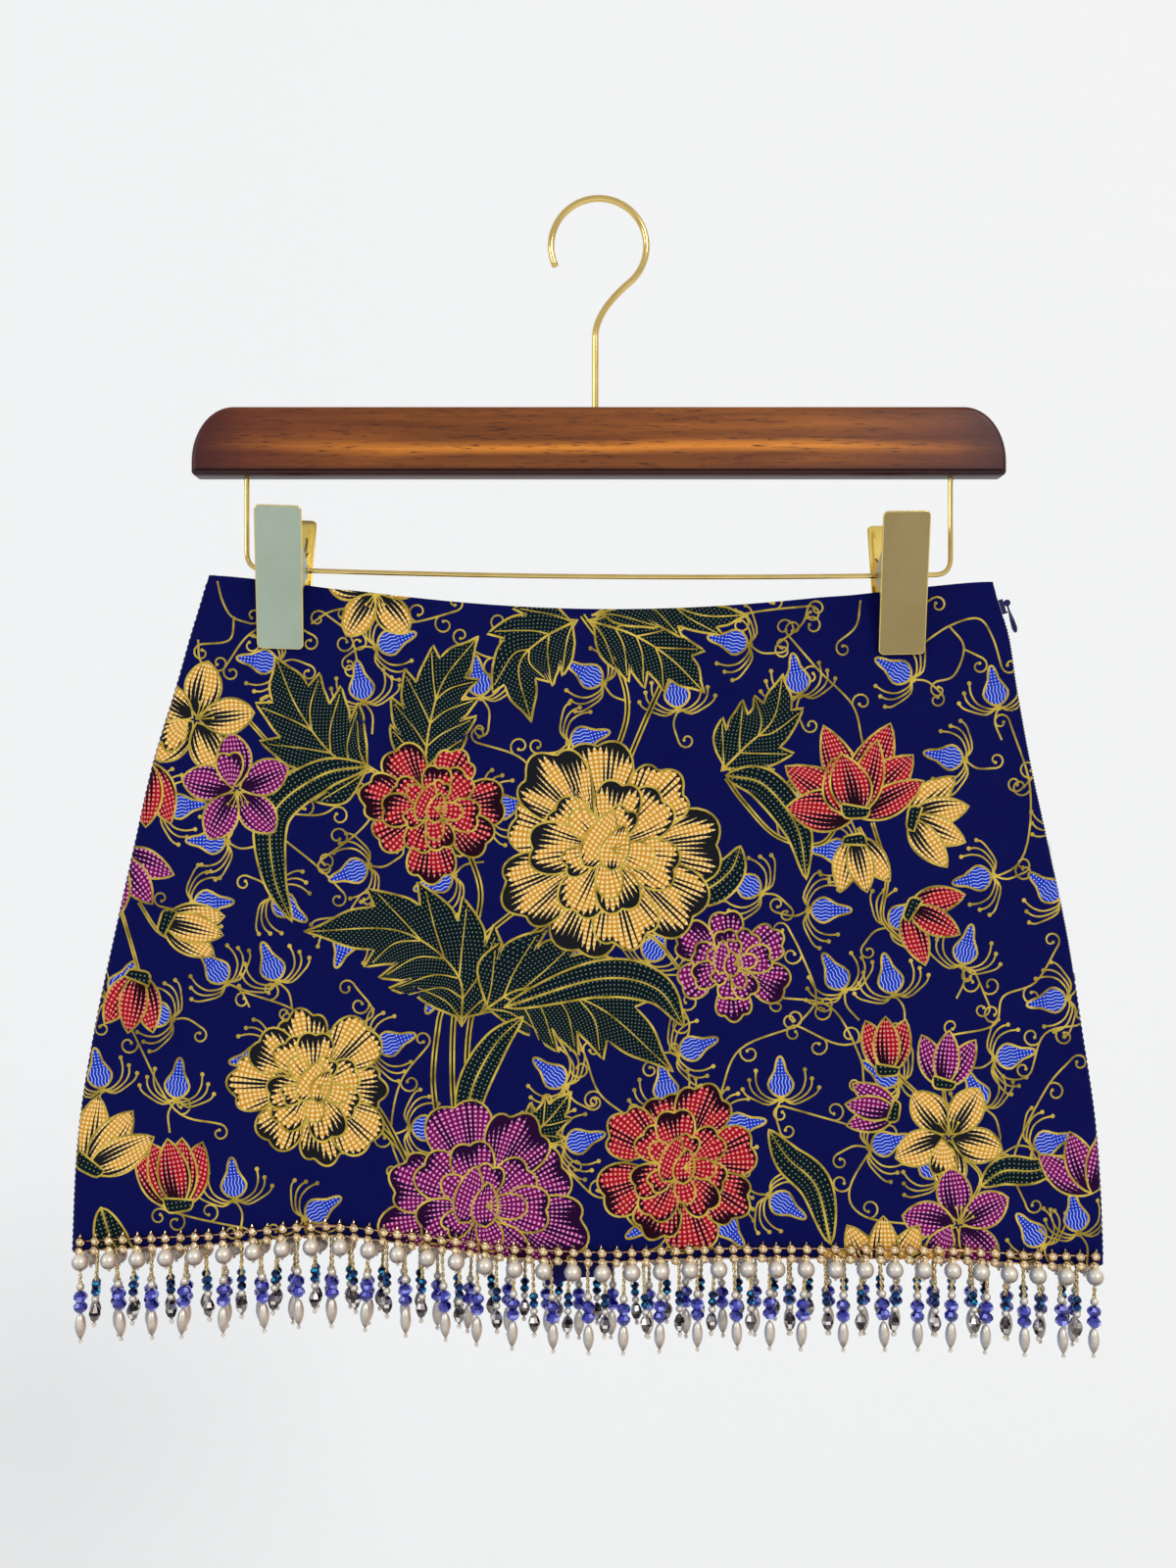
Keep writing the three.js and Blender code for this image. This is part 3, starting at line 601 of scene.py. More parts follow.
def tendril(x, z, heading, hand=1, size=1.0):
    """An open curl."""
    outer, wound_in = 4.3, 2.9
    turn = np.linspace(0, 1, 13)
    radius = size * (outer - wound_in * turn)
    angle = math.radians(heading) - hand * math.pi / 2 + hand * turn * 2 * math.pi * 0.95
    centre = (x - outer * size * math.cos(angle[0]), z - outer * size * math.sin(angle[0]))
    path = np.stack([centre[0] + radius * np.cos(angle), centre[1] + radius * np.sin(angle)], -1)
    stroke(path, 1.0, (1.0, 0.9))
    blot(*path[-1], 0.75, 6)


def vine(points, curls=()):
    """A thin gold line. One that carries curls along it also ends in a curl at both ends."""
    path = curve(points, 7)
    stroke(path, 1.05)
    if curls:
        for i, next_one, hand in ((0, 1, 1), (-1, -2, -1)):
            ahead = path[i] - path[next_one]
            tendril(*path[i], math.degrees(math.atan2(ahead[1], ahead[0])), hand, 0.85)
    for share, hand in curls:
        i = int(share * (len(path) - 2))
        ahead = path[i + 1] - path[i]
        tendril(*path[i], math.degrees(math.atan2(ahead[1], ahead[0])) + 20 * hand, hand)


BLUE_BUDS = [
    (-101, -207, 100), (-87, -189, 20), (-51, -205, 98), (-5, -203, 150), (-5, -230, 15), (-105, -287, 200),
    (-69, -291, 200), (-132, -302, -35), (-139, -326, 112), (-166, -274, 178), (-165, -300, 2),
    (-177, -259, 5),
    (-163, -328, 130), (-203, -334, 60), (62, -292, 150), (24, -318, 62), (97, -303, 0), (129, -305, 40),
    (156, -319, 76), (191, -294, 140), (192, -342, 190), (100, -330, 120), (123, -331, 104), (41, -361, 20),
    (28, -377, 100), (77, -375, 92), (176, -365, 10), (120, -372, 150), (160, -380, 116), (122, -401, 16),
    (139, -410, 130), (192, -402, 16), (79, -428, -32), (61, -394, 10), (55, -438, -50), (184, -440, 130),
    (203, -433, 100), (84, -204, 100), (127, -201, 150), (169, -209, 100), (87, -259, -20), (148, -238, 170),
    (99, -278, 176), (160, -290, 190), (-33, -326, 112), (-9, -326, 110), (-108, -318, 250), (-87, -359, 20),
    (-72, -395, 0), (-7, -400, 16), (-68, -338, 240), (-179, -376, 84), (-155, -418, 95), (33, -210, 95),
    (-39, -259, 10), (56, -189, 170), (6, -303, 250), (195, -258, 130), (-118, -430, 30), (20, -436, 210),
    (-147, -366, 190), (-20, -372, 140), (-189, -347, 160), (-213, -372, 100), (-145, -197, 172),
]


def draw_print():
    """The whole print, from the vines at the back to the large flowers in front."""
    loose = [
        [(-160, -200), (-150, -186), (-136, -180), (-122, -186)], [(-118, -176), (-106, -186), (-102, -200)],
        [(-24, -178), (-40, -184), (-44, -196), (-60, -190)],
        [(-5, -240), (-20, -250), (-34, -238), (-52, -232)],
        [(112, -232), (108, -216), (94, -202), (80, -186)], [(76, -190), (86, -182), (89, -174)],
        [(175, -222), (184, -252), (180, -282), (160, -292)],
        [(192, -240), (180, -252)],
        [(80, -310), (86, -322), (92, -340), (84, -352)], [(84, -352), (60, -362), (52, -380), (48, -396)],
        [(84, -352), (104, -360), (122, -352)],
        [(196, -318), (186, -334), (172, -340), (168, -352), (150, -356)],
        [(160, -330), (166, -344)], [(78, -386), (100, -392), (118, -396), (120, -380)],
        [(120, -396), (106, -420), (112, -432), (136, -436)],
        [(182, -430), (176, -410), (190, -380), (202, -366)],
        [(-160, -250), (-140, -268), (-120, -284), (-108, -296)], [(-118, -282), (-100, -268), (-90, -252)],
        [(-210, -330), (-196, -360), (-180, -388), (-160, -394)], [(-150, -338), (-132, -344), (-120, -352)],
        [(-104, -334), (-96, -348), (-120, -356)], [(-72, -360), (-84, -376), (-88, -398), (-84, -412)],
        [(-22, -338), (-20, -352), (-12, -368), (-18, -384)],
        [(12, -390), (0, -380), (-6, -364), (-12, -350)],
        [(48, -180), (70, -176), (90, -174)], [(-134, -262), (-116, -262), (-104, -250)],
        [(-186, -430), (-170, -434), (-150, -438)], [(14, -420), (0, -424), (-12, -414)],
        [(76, -340), (98, -344), (110, -364), (112, -376)], [(30, -338), (38, -350), (36, -362)],
        [(-196, -232), (-190, -244), (-196, -262)], [(206, -352), (190, -356), (184, -372)],
        [(-140, -212), (-118, -222), (-112, -234)], [(-60, -176), (-74, -180), (-86, -182)],
    ]
    corners = [
        [(-163, -163), (-161, -171), (-157, -178), (-149, -181)], [(-171, -188), (-170, -197), (-164, -201)],
        [(-156, -178), (-158, -188), (-170, -190)], [(-123, -181), (-115, -176), (-106, -176), (-99, -188)],
        [(112, -171), (110, -182), (102, -189)],
        [(138, -190), (150, -182), (162, -179), (168, -187), (172, -200)],
        [(138, -190), (136, -176), (143, -170)], [(150, -182), (156, -191), (152, -203), (144, -206)],
        [(156, -192), (164, -196)],
    ]
    for i, line in enumerate(corners):
        vine(line)
        path = curve(line, 7)
        ahead = path[-1] - path[-2]
        tendril(*path[-1], math.degrees(math.atan2(ahead[1], ahead[0])), -1 if i in (3, 6, 8) else 1, 0.85)
    for i, line in enumerate(loose):
        vine(line, [(0.35, 1 if i % 2 else -1), (0.75, -1 if i % 2 else 1)])
    for i, (x, z, heading) in enumerate(BLUE_BUDS):
        foot = placed([(-8, 0), (-14, 2.5 if i % 2 else -2.5), (-22, 1 if i % 2 else -1)], x, z, heading)
        vine(foot)
        if i % 3:
            ahead = foot[-1] - foot[-2]
            tendril(*foot[-1], math.degrees(math.atan2(ahead[1], ahead[0])), 1 if i % 2 else -1, 0.8)
    for x, z, heading in BLUE_BUDS:
        blue_bud(x, z, heading)
    # stalks rise from the flower at the hem and carry the big leaves and flowers
    stem([(-60, -404), (-62, -370), (-60, -340), (-50, -316), (-20, -292)])
    stem([(-55, -404), (-56, -372), (-52, -342), (-34, -318), (-8, -300)])
    stem([(-66, -404), (-70, -376), (-68, -352), (-66, -344)])
    stem([(-58, -346), (-54, -318), (-50, -296), (-56, -276)])
    stem([(-70, -420), (-84, -404), (-98, -390), (-110, -384)])
    stem([(-74, -424), (-88, -396), (-96, -384), (-104, -376)])
    stem([(-7, -178), (8, -200), (12, -220), (4, -244)])
    stem([(30, -200), (20, -222), (10, -246)])
    stem([(104, -262), (94, -275), (76, -272), (62, -258), (54, -247)], 2.6)
    stem([(110, -268), (116, -280), (112, -292)], 2.4)
    stem([(116, -266), (122, -288), (120, -306), (128, -316)], 2.4)
    stem([(126, -352), (124, -368), (134, -380), (144, -388)], 2.4)
    stem([(146, -366), (146, -380), (148, -390)], 2.2)
    stem([(150, -404), (162, -416), (156, -430)], 2.2)
    stem([(4, -312), (22, -314), (36, -330), (42, -330)], 2.2)
    stem([(-196, -300), (-188, -312), (-180, -316)], 2.2)
    stem([(-204, -302), (-196, -330), (-196, -340)], 2.2)
    stem([(-150, -222), (-132, -238), (-108, -238), (-92, -246)], 2.4)
    # leaves
    leaf([(-58, -352), (-60, -330), (-84, -312), (-123, -312)], 46, 5)
    leaf([(-50, -346), (-30, -336), (0, -344), (30, -370)], 46, 5)
    leaf([(-40, -344), (0, -332), (24, -336), (36, -352)], 16, 0)
    leaf([(-56, -404), (-54, -380), (-44, -360), (-32, -348)], 13, 0)
    leaf([(-96, -244), (-112, -238), (-128, -218), (-138, -196)], 42, 4)
    leaf([(-98, -242), (-118, -246), (-138, -262), (-138, -288), (-130, -308)], 15, 0)
    leaf([(-74, -246), (-72, -226), (-66, -206), (-52, -188)], 34, 4)
    leaf([(-9, -180), (-24, -188), (-34, -200), (-29, -222)], 34, 3)
    leaf([(-5, -180), (14, -186), (30, -196), (44, -210)], 34, 4)
    leaf([(-3, -178), (22, -172), (44, -178), (62, -178)], 22, 3)
    leaf([(52, -244), (62, -234), (74, -222), (78, -204)], 30, 3)
    leaf([(54, -246), (70, -250), (84, -268), (88, -290)], 14, 0)
    leaf([(34, -296), (46, -294), (56, -286), (60, -276)], 15, 0)
    leaf([(-32, -402), (-26, -396), (-20, -390), (-12, -380)], 20, 3)
    leaf([(98, -444), (92, -420), (80, -408), (72, -396)], 14, 0)
    leaf([(162, -420), (172, -414), (186, -414), (200, -408)], 12, 0)
    leaf([(-212, -430), (-206, -446), (-196, -452)], 14, 0)
    # flowers
    bud_cluster(108, -272, 24, yellow, -80, (34, -28, 4))
    bud_cluster(132, -264, 26, yellow, -8, (58, 22, -18, -52))
    bud_cluster(131, -302, 25, red, -22, (40, -60, -6))
    bud_cluster(122, -372, 24, red, 92, (24, -24, 0))
    bud_cluster(146, -378, 24, magenta, 84, (34, -34, 0))
    bud_cluster(126, -388, 22, magenta, 172, (28, -28, 0))
    bud_cluster(-186, -308, 27, yellow, -16, (24, -20, 4))
    bud_cluster(-196, -330, 26, red, -100, (28, -28, 0))
    bud_cluster(-178, -430, 30, red, 100, (34, -34, 16, -14, 0))
    bud_cluster(-218, -414, 32, yellow, 64, (50, 20, -14, -44))
    lily(-172, -222, 25, yellow, 40, 5)
    lily(-154, -252, 24, magenta, -86, 5)
    bud_cluster(-192, -240, 28, red, -96, (30, -20, 4), False)
    bud_cluster(-206, -280, 26, magenta, -70, (60, 20, -20), False)
    lily(148, -399, 24, yellow, 90, 5)
    lily(152, -436, 24, magenta, 60, 5)
    bud_cluster(120, -462, 30, yellow, 90, (70, 35, -35, -70, 0), False)
    lily(-95, -168, 22, yellow, -90, 5)
    bud_cluster(210, -424, 28, magenta, 110, (40, 0, -40), False)
    lotus(109, -263, 36, red, 92)
    calyx(-55, -276, -230, 7)
    peony(-71, -260, 30, red, 12, 7, seed=2)
    calyx(46, -332, 160, 5)
    peony(56, -326, 25, magenta, 30, 6, seed=3)
    peony(-121, -378, 34, yellow, 4, 8, seed=5)
    peony(-50, -428, 44, magenta, 20, 8, seed=4)
    calyx(18, -436, 50, 9)
    peony(34, -412, 35, red, 16, 8, seed=6)
    peony(3, -277, 47, yellow, 8, 9, seed=8)


draw_print()


# The cotton itself: a plain weave. The colour of each printed shape comes with the mesh, and the rows of
# dots, the dark streaks between them and the wavy lines of the blue buds are drawn here, at their real size.
# The back of the cloth shows the navy without the print.
cotton = Finish("printed_cotton", Roughness=0.8, Specular_IOR_Level=0.07)
weave_run = cotton.node("Attribute", {"attribute_name": "weave"}, output="Vector")
streak_run = cotton.node("Attribute", {"attribute_name": "streaks"}, output="Vector")
ink = cotton.node("Attribute", {"attribute_name": "ink"}, output="Color")
deep = cotton.node("Attribute", {"attribute_name": "deep"}, output="Color")
spots = cotton.node("Attribute", {"attribute_name": "spots"}, output="Color")
waved = cotton.node("Attribute", {"attribute_name": "ink"}, output="Alpha")
gilt = cotton.node("Attribute", {"attribute_name": "deep"}, output="Alpha")
dotted = cotton.node("Attribute", {"attribute_name": "spots"}, output="Alpha")
share = cotton.node("SeparateXYZ", output="X", Vector=weave_run)
line = cotton.node("SeparateXYZ", output="Y", Vector=weave_run)
along = cotton.node("SeparateXYZ", output="Z", Vector=weave_run)
from_foot = cotton.node("SeparateXYZ", output="X", Vector=streak_run)
from_tip = cotton.node("SeparateXYZ", output="Y", Vector=streak_run)
own = cotton.node("SeparateXYZ", output="Z", Vector=streak_run)
across_dot = line.fraction() - 0.5
along_dot = along.fraction() - 0.5
dot = (across_dot * across_dot + along_dot * along_dot).root() < dotted
between = 2 * abs(line.fraction() - 0.5)
swell = 0.66 + 0.34 * (line * 1.13 + own * 2.0).sine()
tip_swell = 0.6 + 0.4 * (line * 0.9 + own * 1.3 + 2.0).sine()
foot_comb = share / (from_foot * swell).maths("MAXIMUM", from_foot * swell, 0.001)
tip_comb = (1 - share) / (from_tip * tip_swell).maths("MAXIMUM", from_tip * tip_swell, 0.001)
streak = foot_comb * 1.35 - 0.35 < between
streak = streak.maths("MAXIMUM", streak, tip_comb * 1.35 - 0.35 < between)
ripple = abs((line + 0.16 * (along * 2.4).sine()).fraction() - 0.5) < 0.09
bud_marks = ripple * (share < 0.5) + dot * (share > 0.52)
marks = (dot * (1 - waved) + bud_marks * waved).clipped()
patch = cotton.noise(9, 3.0)
filled = cotton.mix(streak * (dotted > 0.05) * (1 - waved), ink, deep)
filled = cotton.mix(marks * (1 - streak * (1 - waved)), filled, spots)
gold_tone = cotton.mix((patch * 3 - 1.05).clipped(), hue(126, 108, 32), hue(222, 192, 78))
filled = cotton.mix(gilt * 0.9, filled, gold_tone)
weave_across = cotton.noise(0.5, 1.0, (1, 1, 0.14))
weave_up = cotton.noise(0.5, 1.0, (0.14, 1, 1))
weave = weave_across + weave_up
faded = cotton.mix((patch * 0.08 + weave * 0.06 - 0.07).clipped(), filled, hue(40, 46, 120))
cotton.paint(Base_Color=faded)
cotton.relief(weave, 0.1, 0.35)

reverse = Finish("cotton_reverse", Roughness=0.85, Specular_IOR_Level=0.07)
shade = reverse.noise(9, 3.0)
threads = reverse.noise(0.45, 1.0, (1, 1, 0.12)) + reverse.noise(0.45, 1.0, (0.12, 1, 1))
reverse.paint(Base_Color=reverse.mix(shade, hue(20, 20, 84), hue(38, 38, 108)))
reverse.relief(threads, 0.12, 0.5)

CLOTH_OUT = 0.55
CLOTH_IN = -0.25


def panel_grid(panel, columns, rows):
    """Points of the flat cut, row by row from the waist to the hem."""
    turn = np.array([0, 0.25, 0.5, 0.75, 1.0]) * math.pi / 2
    grid = []
    for row in range(rows + 1):
        z = waist_height(np.linspace(-1, 1, columns + 1))
        across = np.linspace(-1, 1, columns + 1)
        hem = trim_height(across, panel) - HEM_ALLOWANCE
        z = z + (hem - z) * row / rows
        left, right, radius = side_left(z), side_right(z), fold_radius(z)
        x = left + radius + (right - left - 2 * radius) * (across + 1) / 2
        before = np.stack([x[0] - radius[0] * turn[:0:-1], np.full(4, z[0])], -1)
        after = np.stack([x[-1] + radius[-1] * turn[1:], np.full(4, z[-1])], -1)
        grid.append(np.concatenate([before, np.stack([x, z], -1), after]))
    return np.array(grid)


def make_panel(panel, motifs):
    """The printed face of a panel, cut along the edges of its motifs, and the plain reverse behind it."""
    grid = panel_grid(panel, 104, 70)
    rows, columns = grid.shape[:2]
    number = np.arange(rows * columns).reshape(rows, columns)
    rim = [*number[0, ::-1], *number[1:, 0], *number[-1, 1:], *number[-2:0:-1, -1]]
    places = [tuple(p) for p in grid.reshape(-1, 2)]
    outlines = [[int(i) for i in rim]]
    for motif in motifs:
        start = len(places)
        places += [tuple(p) for p in motif["outline"]]
        outlines.append(list(range(start, len(places))))
    flat, _, faces, _, _, owners = delaunay_2d_cdt(places, [], outlines, 0, 1e-4, True)
    flat = np.array([tuple(p) for p in flat])
    kept = [(face, max(owner)) for face, owner in zip(faces, owners) if 0 in owner]
    faces = [face for face, _ in kept]
    top = np.array([shape for _, shape in kept])
    outer = cloth_point(flat[:, 0], flat[:, 1], panel, CLOTH_OUT)
    used = {}
    for face in faces:
        for a, b in zip(face, (*face[1:], face[0])):
            used[(a, b)] = True
    follow = {a: b for a, b in used if (b, a) not in used}
    loop = [next(iter(follow))]
    while follow[loop[-1]] != loop[0]:
        loop.append(follow[loop[-1]])
    plain = panel_grid(panel, 52, 35)[1:-1, 5:-5].reshape(-1, 2)
    inside_places = [tuple(flat[i]) for i in loop] + [tuple(p) for p in plain]
    inside_rim = [list(range(len(loop)))]
    back, _, back_faces, _, _, owners = delaunay_2d_cdt(inside_places, [], inside_rim, 0, 1e-5, True)
    back = np.array([tuple(p) for p in back])
    back_faces = [face for face, owner in zip(back_faces, owners) if owner]
    inner = cloth_point(back[:, 0], back[:, 1], panel, CLOTH_IN)
    count = len(loop)
    lined = [tuple(int(i) for i in face[::-1]) for face in back_faces]
    shift = len(inner)
    lined += [(i, (i + 1) % count, shift + (i + 1) % count, shift + i) for i in range(count)]
    lining_points = np.concatenate([inner, outer[loop]])
    if panel == "back":
        faces = [face[::-1] for face in faces]
        lined = [face[::-1] for face in lined]
    faces = [tuple(int(i) for i in face) for face in faces]
    cloth = make_piece(panel + "_cloth", outer, faces, cotton)
    lining = make_piece(panel + "_reverse", lining_points, lined, reverse)
    mesh = cloth.data
    corner_places = flat[np.array(faces)]
    ground = (*navy[:3], 0.0)
    for name in ("ink", "deep", "spots"):
        colours = np.array([ground] + [motif[name] for motif in motifs])[top]
        layer = mesh.color_attributes.new(name, "FLOAT_COLOR", "CORNER")
        layer.data.foreach_set("color", np.repeat(colours, 3, axis=0).ravel())
    runs = np.zeros((len(faces), 3, 3))
    order = np.argsort(top, kind="stable")
    edges = np.searchsorted(top[order], np.arange(len(motifs) + 2))
    for shape, motif in enumerate(motifs, 1):
        chosen = order[edges[shape]:edges[shape + 1]]
        if motif["weave"] and len(chosen):
            runs[chosen] = motif["weave"](corner_places[chosen].reshape(-1, 2)).reshape(-1, 3, 3)
    streaks = np.array([(0, 0, 0)] + [motif["streaks"] for motif in motifs], float)[top]
    mesh.attributes.new("weave", "FLOAT_VECTOR", "CORNER").data.foreach_set("vector", runs.ravel())
    mesh.attributes.new("streaks", "FLOAT_VECTOR", "CORNER").data.foreach_set(
        "vector", np.repeat(streaks, 3, axis=0).ravel())
    for piece, cut in ((cloth, flat), (lining, np.concatenate([back, flat[loop]]))):
        if piece is cloth:
            corners = np.empty(len(piece.data.loops), np.int32)
            piece.data.loops.foreach_get("vertex_index", corners)
            across = (cut[corners, 0] + 230) / 460 * 0.98 + 0.01
            upwards = (cut[corners, 1] + 460) / 304 * 0.98 + 0.01
            uv = np.stack([across, upwards], -1)
            piece.data.uv_layers.new(name="OFBake").data.foreach_set("uv", uv.ravel())
        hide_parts(panel + "_panel")
    return cloth, lining


def mirrored(motif, across):
    """The same printed shape on the other panel, seen from behind and moved along."""
    outline = motif["outline"] * np.array([-1, 1]) + np.array([across, 0])
    weave = motif["weave"]
    if weave is None:
        return {**motif, "outline": outline[::-1]}
    return {**motif, "outline": outline[::-1],
            "weave": lambda points: weave((points - np.array([across, 0])) * np.array([-1, 1]))}


def on_panel(motif):
    """Whether any of a motif may lie between the side seams."""
    across = motif["outline"][:, 0]
    return across.max() > -232 and across.min() < 222


front_cloth, front_lining = make_panel("front", [motif for motif in drawn if on_panel(motif)])
back_print = [mirrored(motif, across) for across in (120, -298) for motif in drawn]
back_cloth, back_lining = make_panel("back", [motif for motif in back_print if on_panel(motif)])


# The beaded hem, the same on both panels: two rows of crystal cups soldered to fine wires, a round pearl
# hung under every second pair, and strands of small beads, long and short in turn, each on a twisted gold
# thread.
CUP_PITCH = 6.16
PEARL_PITCH = 12.3
STRAND_PITCH = 7.7
ROW_GAP = 4.0


def hem_places(pitch, margin, panel):
    """Even places along the hem, with the height of the trim there."""
    left = side_left(np.float64(HEM_AT_SIDE)) - 0.6 + margin
    right = side_right(np.float64(HEM_AT_SIDE)) + 0.6 - margin
    count = int((right - left) / pitch)
    start = (left + right - count * pitch) / 2
    xs = start + pitch * np.arange(count + 1)
    zs = trim_height(across_at(xs, np.full_like(xs, HEM_AT_SIDE)), panel)
    return xs, zs


def turned_profile(profile, sides, twist=0.0):
    """Points and faces of a round piece about the Z axis, from (radius, height) pairs, top to bottom."""
    points = []
    for ring, (radius, height) in enumerate(profile):
        for side in range(sides):
            angle = 2 * math.pi * side / sides + twist * ring
            points.append((radius * math.cos(angle), radius * math.sin(angle), height))
    faces = []
    for ring in range(len(profile) - 1):
        for side in range(sides):
            a, b = ring * sides + side, ring * sides + (side + 1) % sides
            faces.append((a, a + sides, b + sides, b))
    faces.append(tuple(range(sides)))
    faces.append(tuple(reversed(range((len(profile) - 1) * sides, len(profile) * sides))))
    return np.array(points), faces


def round_bead(radius, tall, rings, hole=0.12):
    """Rings of a turned bead, from hole to hole."""
    angles = np.linspace(hole, math.pi - hole, rings)
    return [(radius * math.sin(a), tall / 2 * math.cos(a)) for a in angles]


class Heap:
    """Many small solids gathered into one mesh."""

    def __init__(self):
        self.points = []
        self.faces = []
        self.count = 0

    def add(self, points, faces):
        self.points.append(np.asarray(points))
        self.faces += [tuple(i + self.count for i in face) for face in faces]
        self.count += len(points)

    def piece(self, name, finish, slot, smooth=True):
        return make_piece(name, np.concatenate(self.points), self.faces, finish, smooth=smooth)


def turned(points, tilt_x, tilt_y, about):
    """Points tilted by two small angles about a place, then carried there."""
    x, y, z = np.asarray(points, float).T
    y, z = y * math.cos(tilt_x) - z * math.sin(tilt_x), y * math.sin(tilt_x) + z * math.cos(tilt_x)
    x, z = x * math.cos(tilt_y) + z * math.sin(tilt_y), -x * math.sin(tilt_y) + z * math.cos(tilt_y)
    return np.stack([x, y, z], -1) + np.asarray(about)


def facets(finish, dark, light, painted_glint):
    """Each flat facet takes a painted shade by the way it faces, and about one in six a painted glint."""
    faced = finish.node("TexCoord", output="Normal")
    x_part = finish.node("SeparateXYZ", output="X", Vector=faced)
    y_part = finish.node("SeparateXYZ", output="Y", Vector=faced)
    z_part = finish.node("SeparateXYZ", output="Z", Vector=faced)
    toss = (x_part * 9.1 + y_part * 5.3 + z_part * 12.7).sine() * 0.5 + 0.5
    painted_facet_shade = finish.mix((toss + finish.noise(3, 1.0) - 0.5).clipped(), dark, light)
    finish.paint(Base_Color=finish.mix((toss * 12 - 10.8).clipped(), painted_facet_shade, painted_glint))


# The cups, stones, blue glass, peacock beads and drops take painted facet shade and painted glints from
# facets().
crystal = Finish("crystal", Roughness=0.05, IOR=1.6, Metallic=0.3)
facets(crystal, hue(140, 100, 60), hue(250, 226, 176), hue(255, 252, 240))
cup_gold = Finish("rose_gold_cups", Metallic=1.0, Roughness=0.22)
facets(cup_gold, hue(88, 54, 34), hue(250, 212, 148), hue(255, 244, 214))
link_gold = Finish("rose_gold_wire", Metallic=0.9, Roughness=0.3)
worn = link_gold.noise(2.5, 2.0)
link_gold.paint(Base_Color=link_gold.mix((worn * 3 - 1).clipped(), hue(128, 78, 56), hue(236, 188, 140)))
pearl = Finish("pearl", Metallic=0.3, Roughness=0.34, Coat_Weight=1.0, Coat_Roughness=0.16)
# The pearl's colour carries painted light, set by the way each part faces: a painted shade on the lower
# side, a painted rosy reflection on the right-facing side and a painted cool reflection of the window light
# on the left.
turned_to = pearl.node("TexCoord", output="Normal")
upwards = pearl.node("SeparateXYZ", output="Z", Vector=turned_to)
rightwards = pearl.node("SeparateXYZ", output="X", Vector=turned_to)
painted_shade_wobble = pearl.noise(2.2, 2.0)
under = (0.44 - upwards * 0.95 + (painted_shade_wobble - 0.5) * 0.6).clipped()
pearl_with_painted_shade = pearl.mix(under, hue(238, 228, 210), hue(108, 86, 70))
painted_rosy_side = pearl.mix((rightwards * 1.6 - 0.62).clipped(), pearl_with_painted_shade, hue(186, 148, 124))
pearl.paint(Base_Color=pearl.mix((-0.35 - rightwards * 1.25).clipped(), painted_rosy_side, hue(124, 138, 168)))
blue_glass = Finish("violet_blue_glass", Roughness=0.05, Coat_Weight=0.4)
facets(blue_glass, hue(10, 8, 92), hue(64, 66, 186), hue(152, 156, 236))
dark_bead = Finish("peacock_bead", Metallic=0.6, Roughness=0.1)
facets(dark_bead, hue(3, 5, 28), hue(14, 62, 128), hue(44, 178, 232))
hematite = Finish("hematite_drop", Metallic=0.85, Roughness=0.2)
facets(hematite, hue(26, 22, 26), hue(150, 140, 134), hue(232, 226, 222))
seed_glass = Finish("clear_seed", Roughness=0.1)
seed_shade = seed_glass.noise(1.2, 1.0)
seed_glass.paint(Base_Color=seed_glass.mix(seed_shade, hue(170, 152, 130), hue(244, 236, 222)))
gold_thread = Finish("gold_thread", Metallic=0.5, Roughness=0.36)
# painted glints: pale flecks scattered at random along the darker gold thread
painted_glint = gold_thread.noise(0.9, 1.0)
gold_thread.paint(Base_Color=gold_thread.mix((painted_glint * 3 - 1).clipped(), hue(138, 108, 60),
                                             hue(246, 222, 164)))


def tube(path, radius, sides=6):
    """Points and faces of a round wire along a path."""
    path = np.asarray(path, float)
    along = np.gradient(path, axis=0)
    along /= np.linalg.norm(along, axis=1, keepdims=True)
    lift = np.array([0.0, 1.0, 0.0]) if abs(along[0, 1]) < 0.8 else np.array([1.0, 0.0, 0.0])
    points, faces = [], []
    for spot, ahead in zip(path, along):
        one = np.cross(ahead, lift)
        one /= np.linalg.norm(one)
        two = np.cross(ahead, one)
        lift = -two if np.dot(-two, lift) > 0 else two
        angle = np.arange(sides) * 2 * math.pi / sides
        points += list(spot + radius * (np.outer(np.cos(angle), one) + np.outer(np.sin(angle), lift)))
    for ring in range(len(path) - 1):
        for side in range(sides):
            a, b = ring * sides + side, ring * sides + (side + 1) % sides
            faces.append((a, b, b + sides, a + sides))
    faces.append(tuple(reversed(range(sides))))
    faces.append(tuple(range((len(path) - 1) * sides, len(path) * sides)))
    return np.array(points), faces


def faceted(radius, tall):
    """Rings of a bead cut with flat facets."""
    table, shoulder = radius * 0.3, radius * 0.62
    return [(table, tall / 2), (shoulder, tall * 0.44), (radius, tall * 0.14), (radius, -tall * 0.14),
            (shoulder, -tall * 0.44), (table, -tall / 2)]


CUP = [(1.5, 1.0), (1.92, 0.9), (1.98, 0.35), (1.4, -0.35), (0.7, -0.45)]
STONE = [(0.6, 1.75), (1.1, 1.42), (1.4, 0.95), (1.3, 0.8)]
PRONG = [(0.1, 1.95), (0.36, 1.55), (0.42, 0.2)]
CROWN = [(0.08, 3.1), (0.52, 2.1), (0.6, 1.3)]
PEARL_DROP = [(0.6, 5.5), (1.3, 4.6), (1.9, 3.2), (2.28, 1.4), (2.35, -0.2), (2.15, -1.8), (1.6, -3.5),
              (0.9, -4.8), (0.4, -5.4)]
CUT_DROP = [(0.5, 3.9), (1.7, 2.7), (2.5, 0.7), (2.5, -0.6), (1.55, -2.8), (0.5, -3.8)]


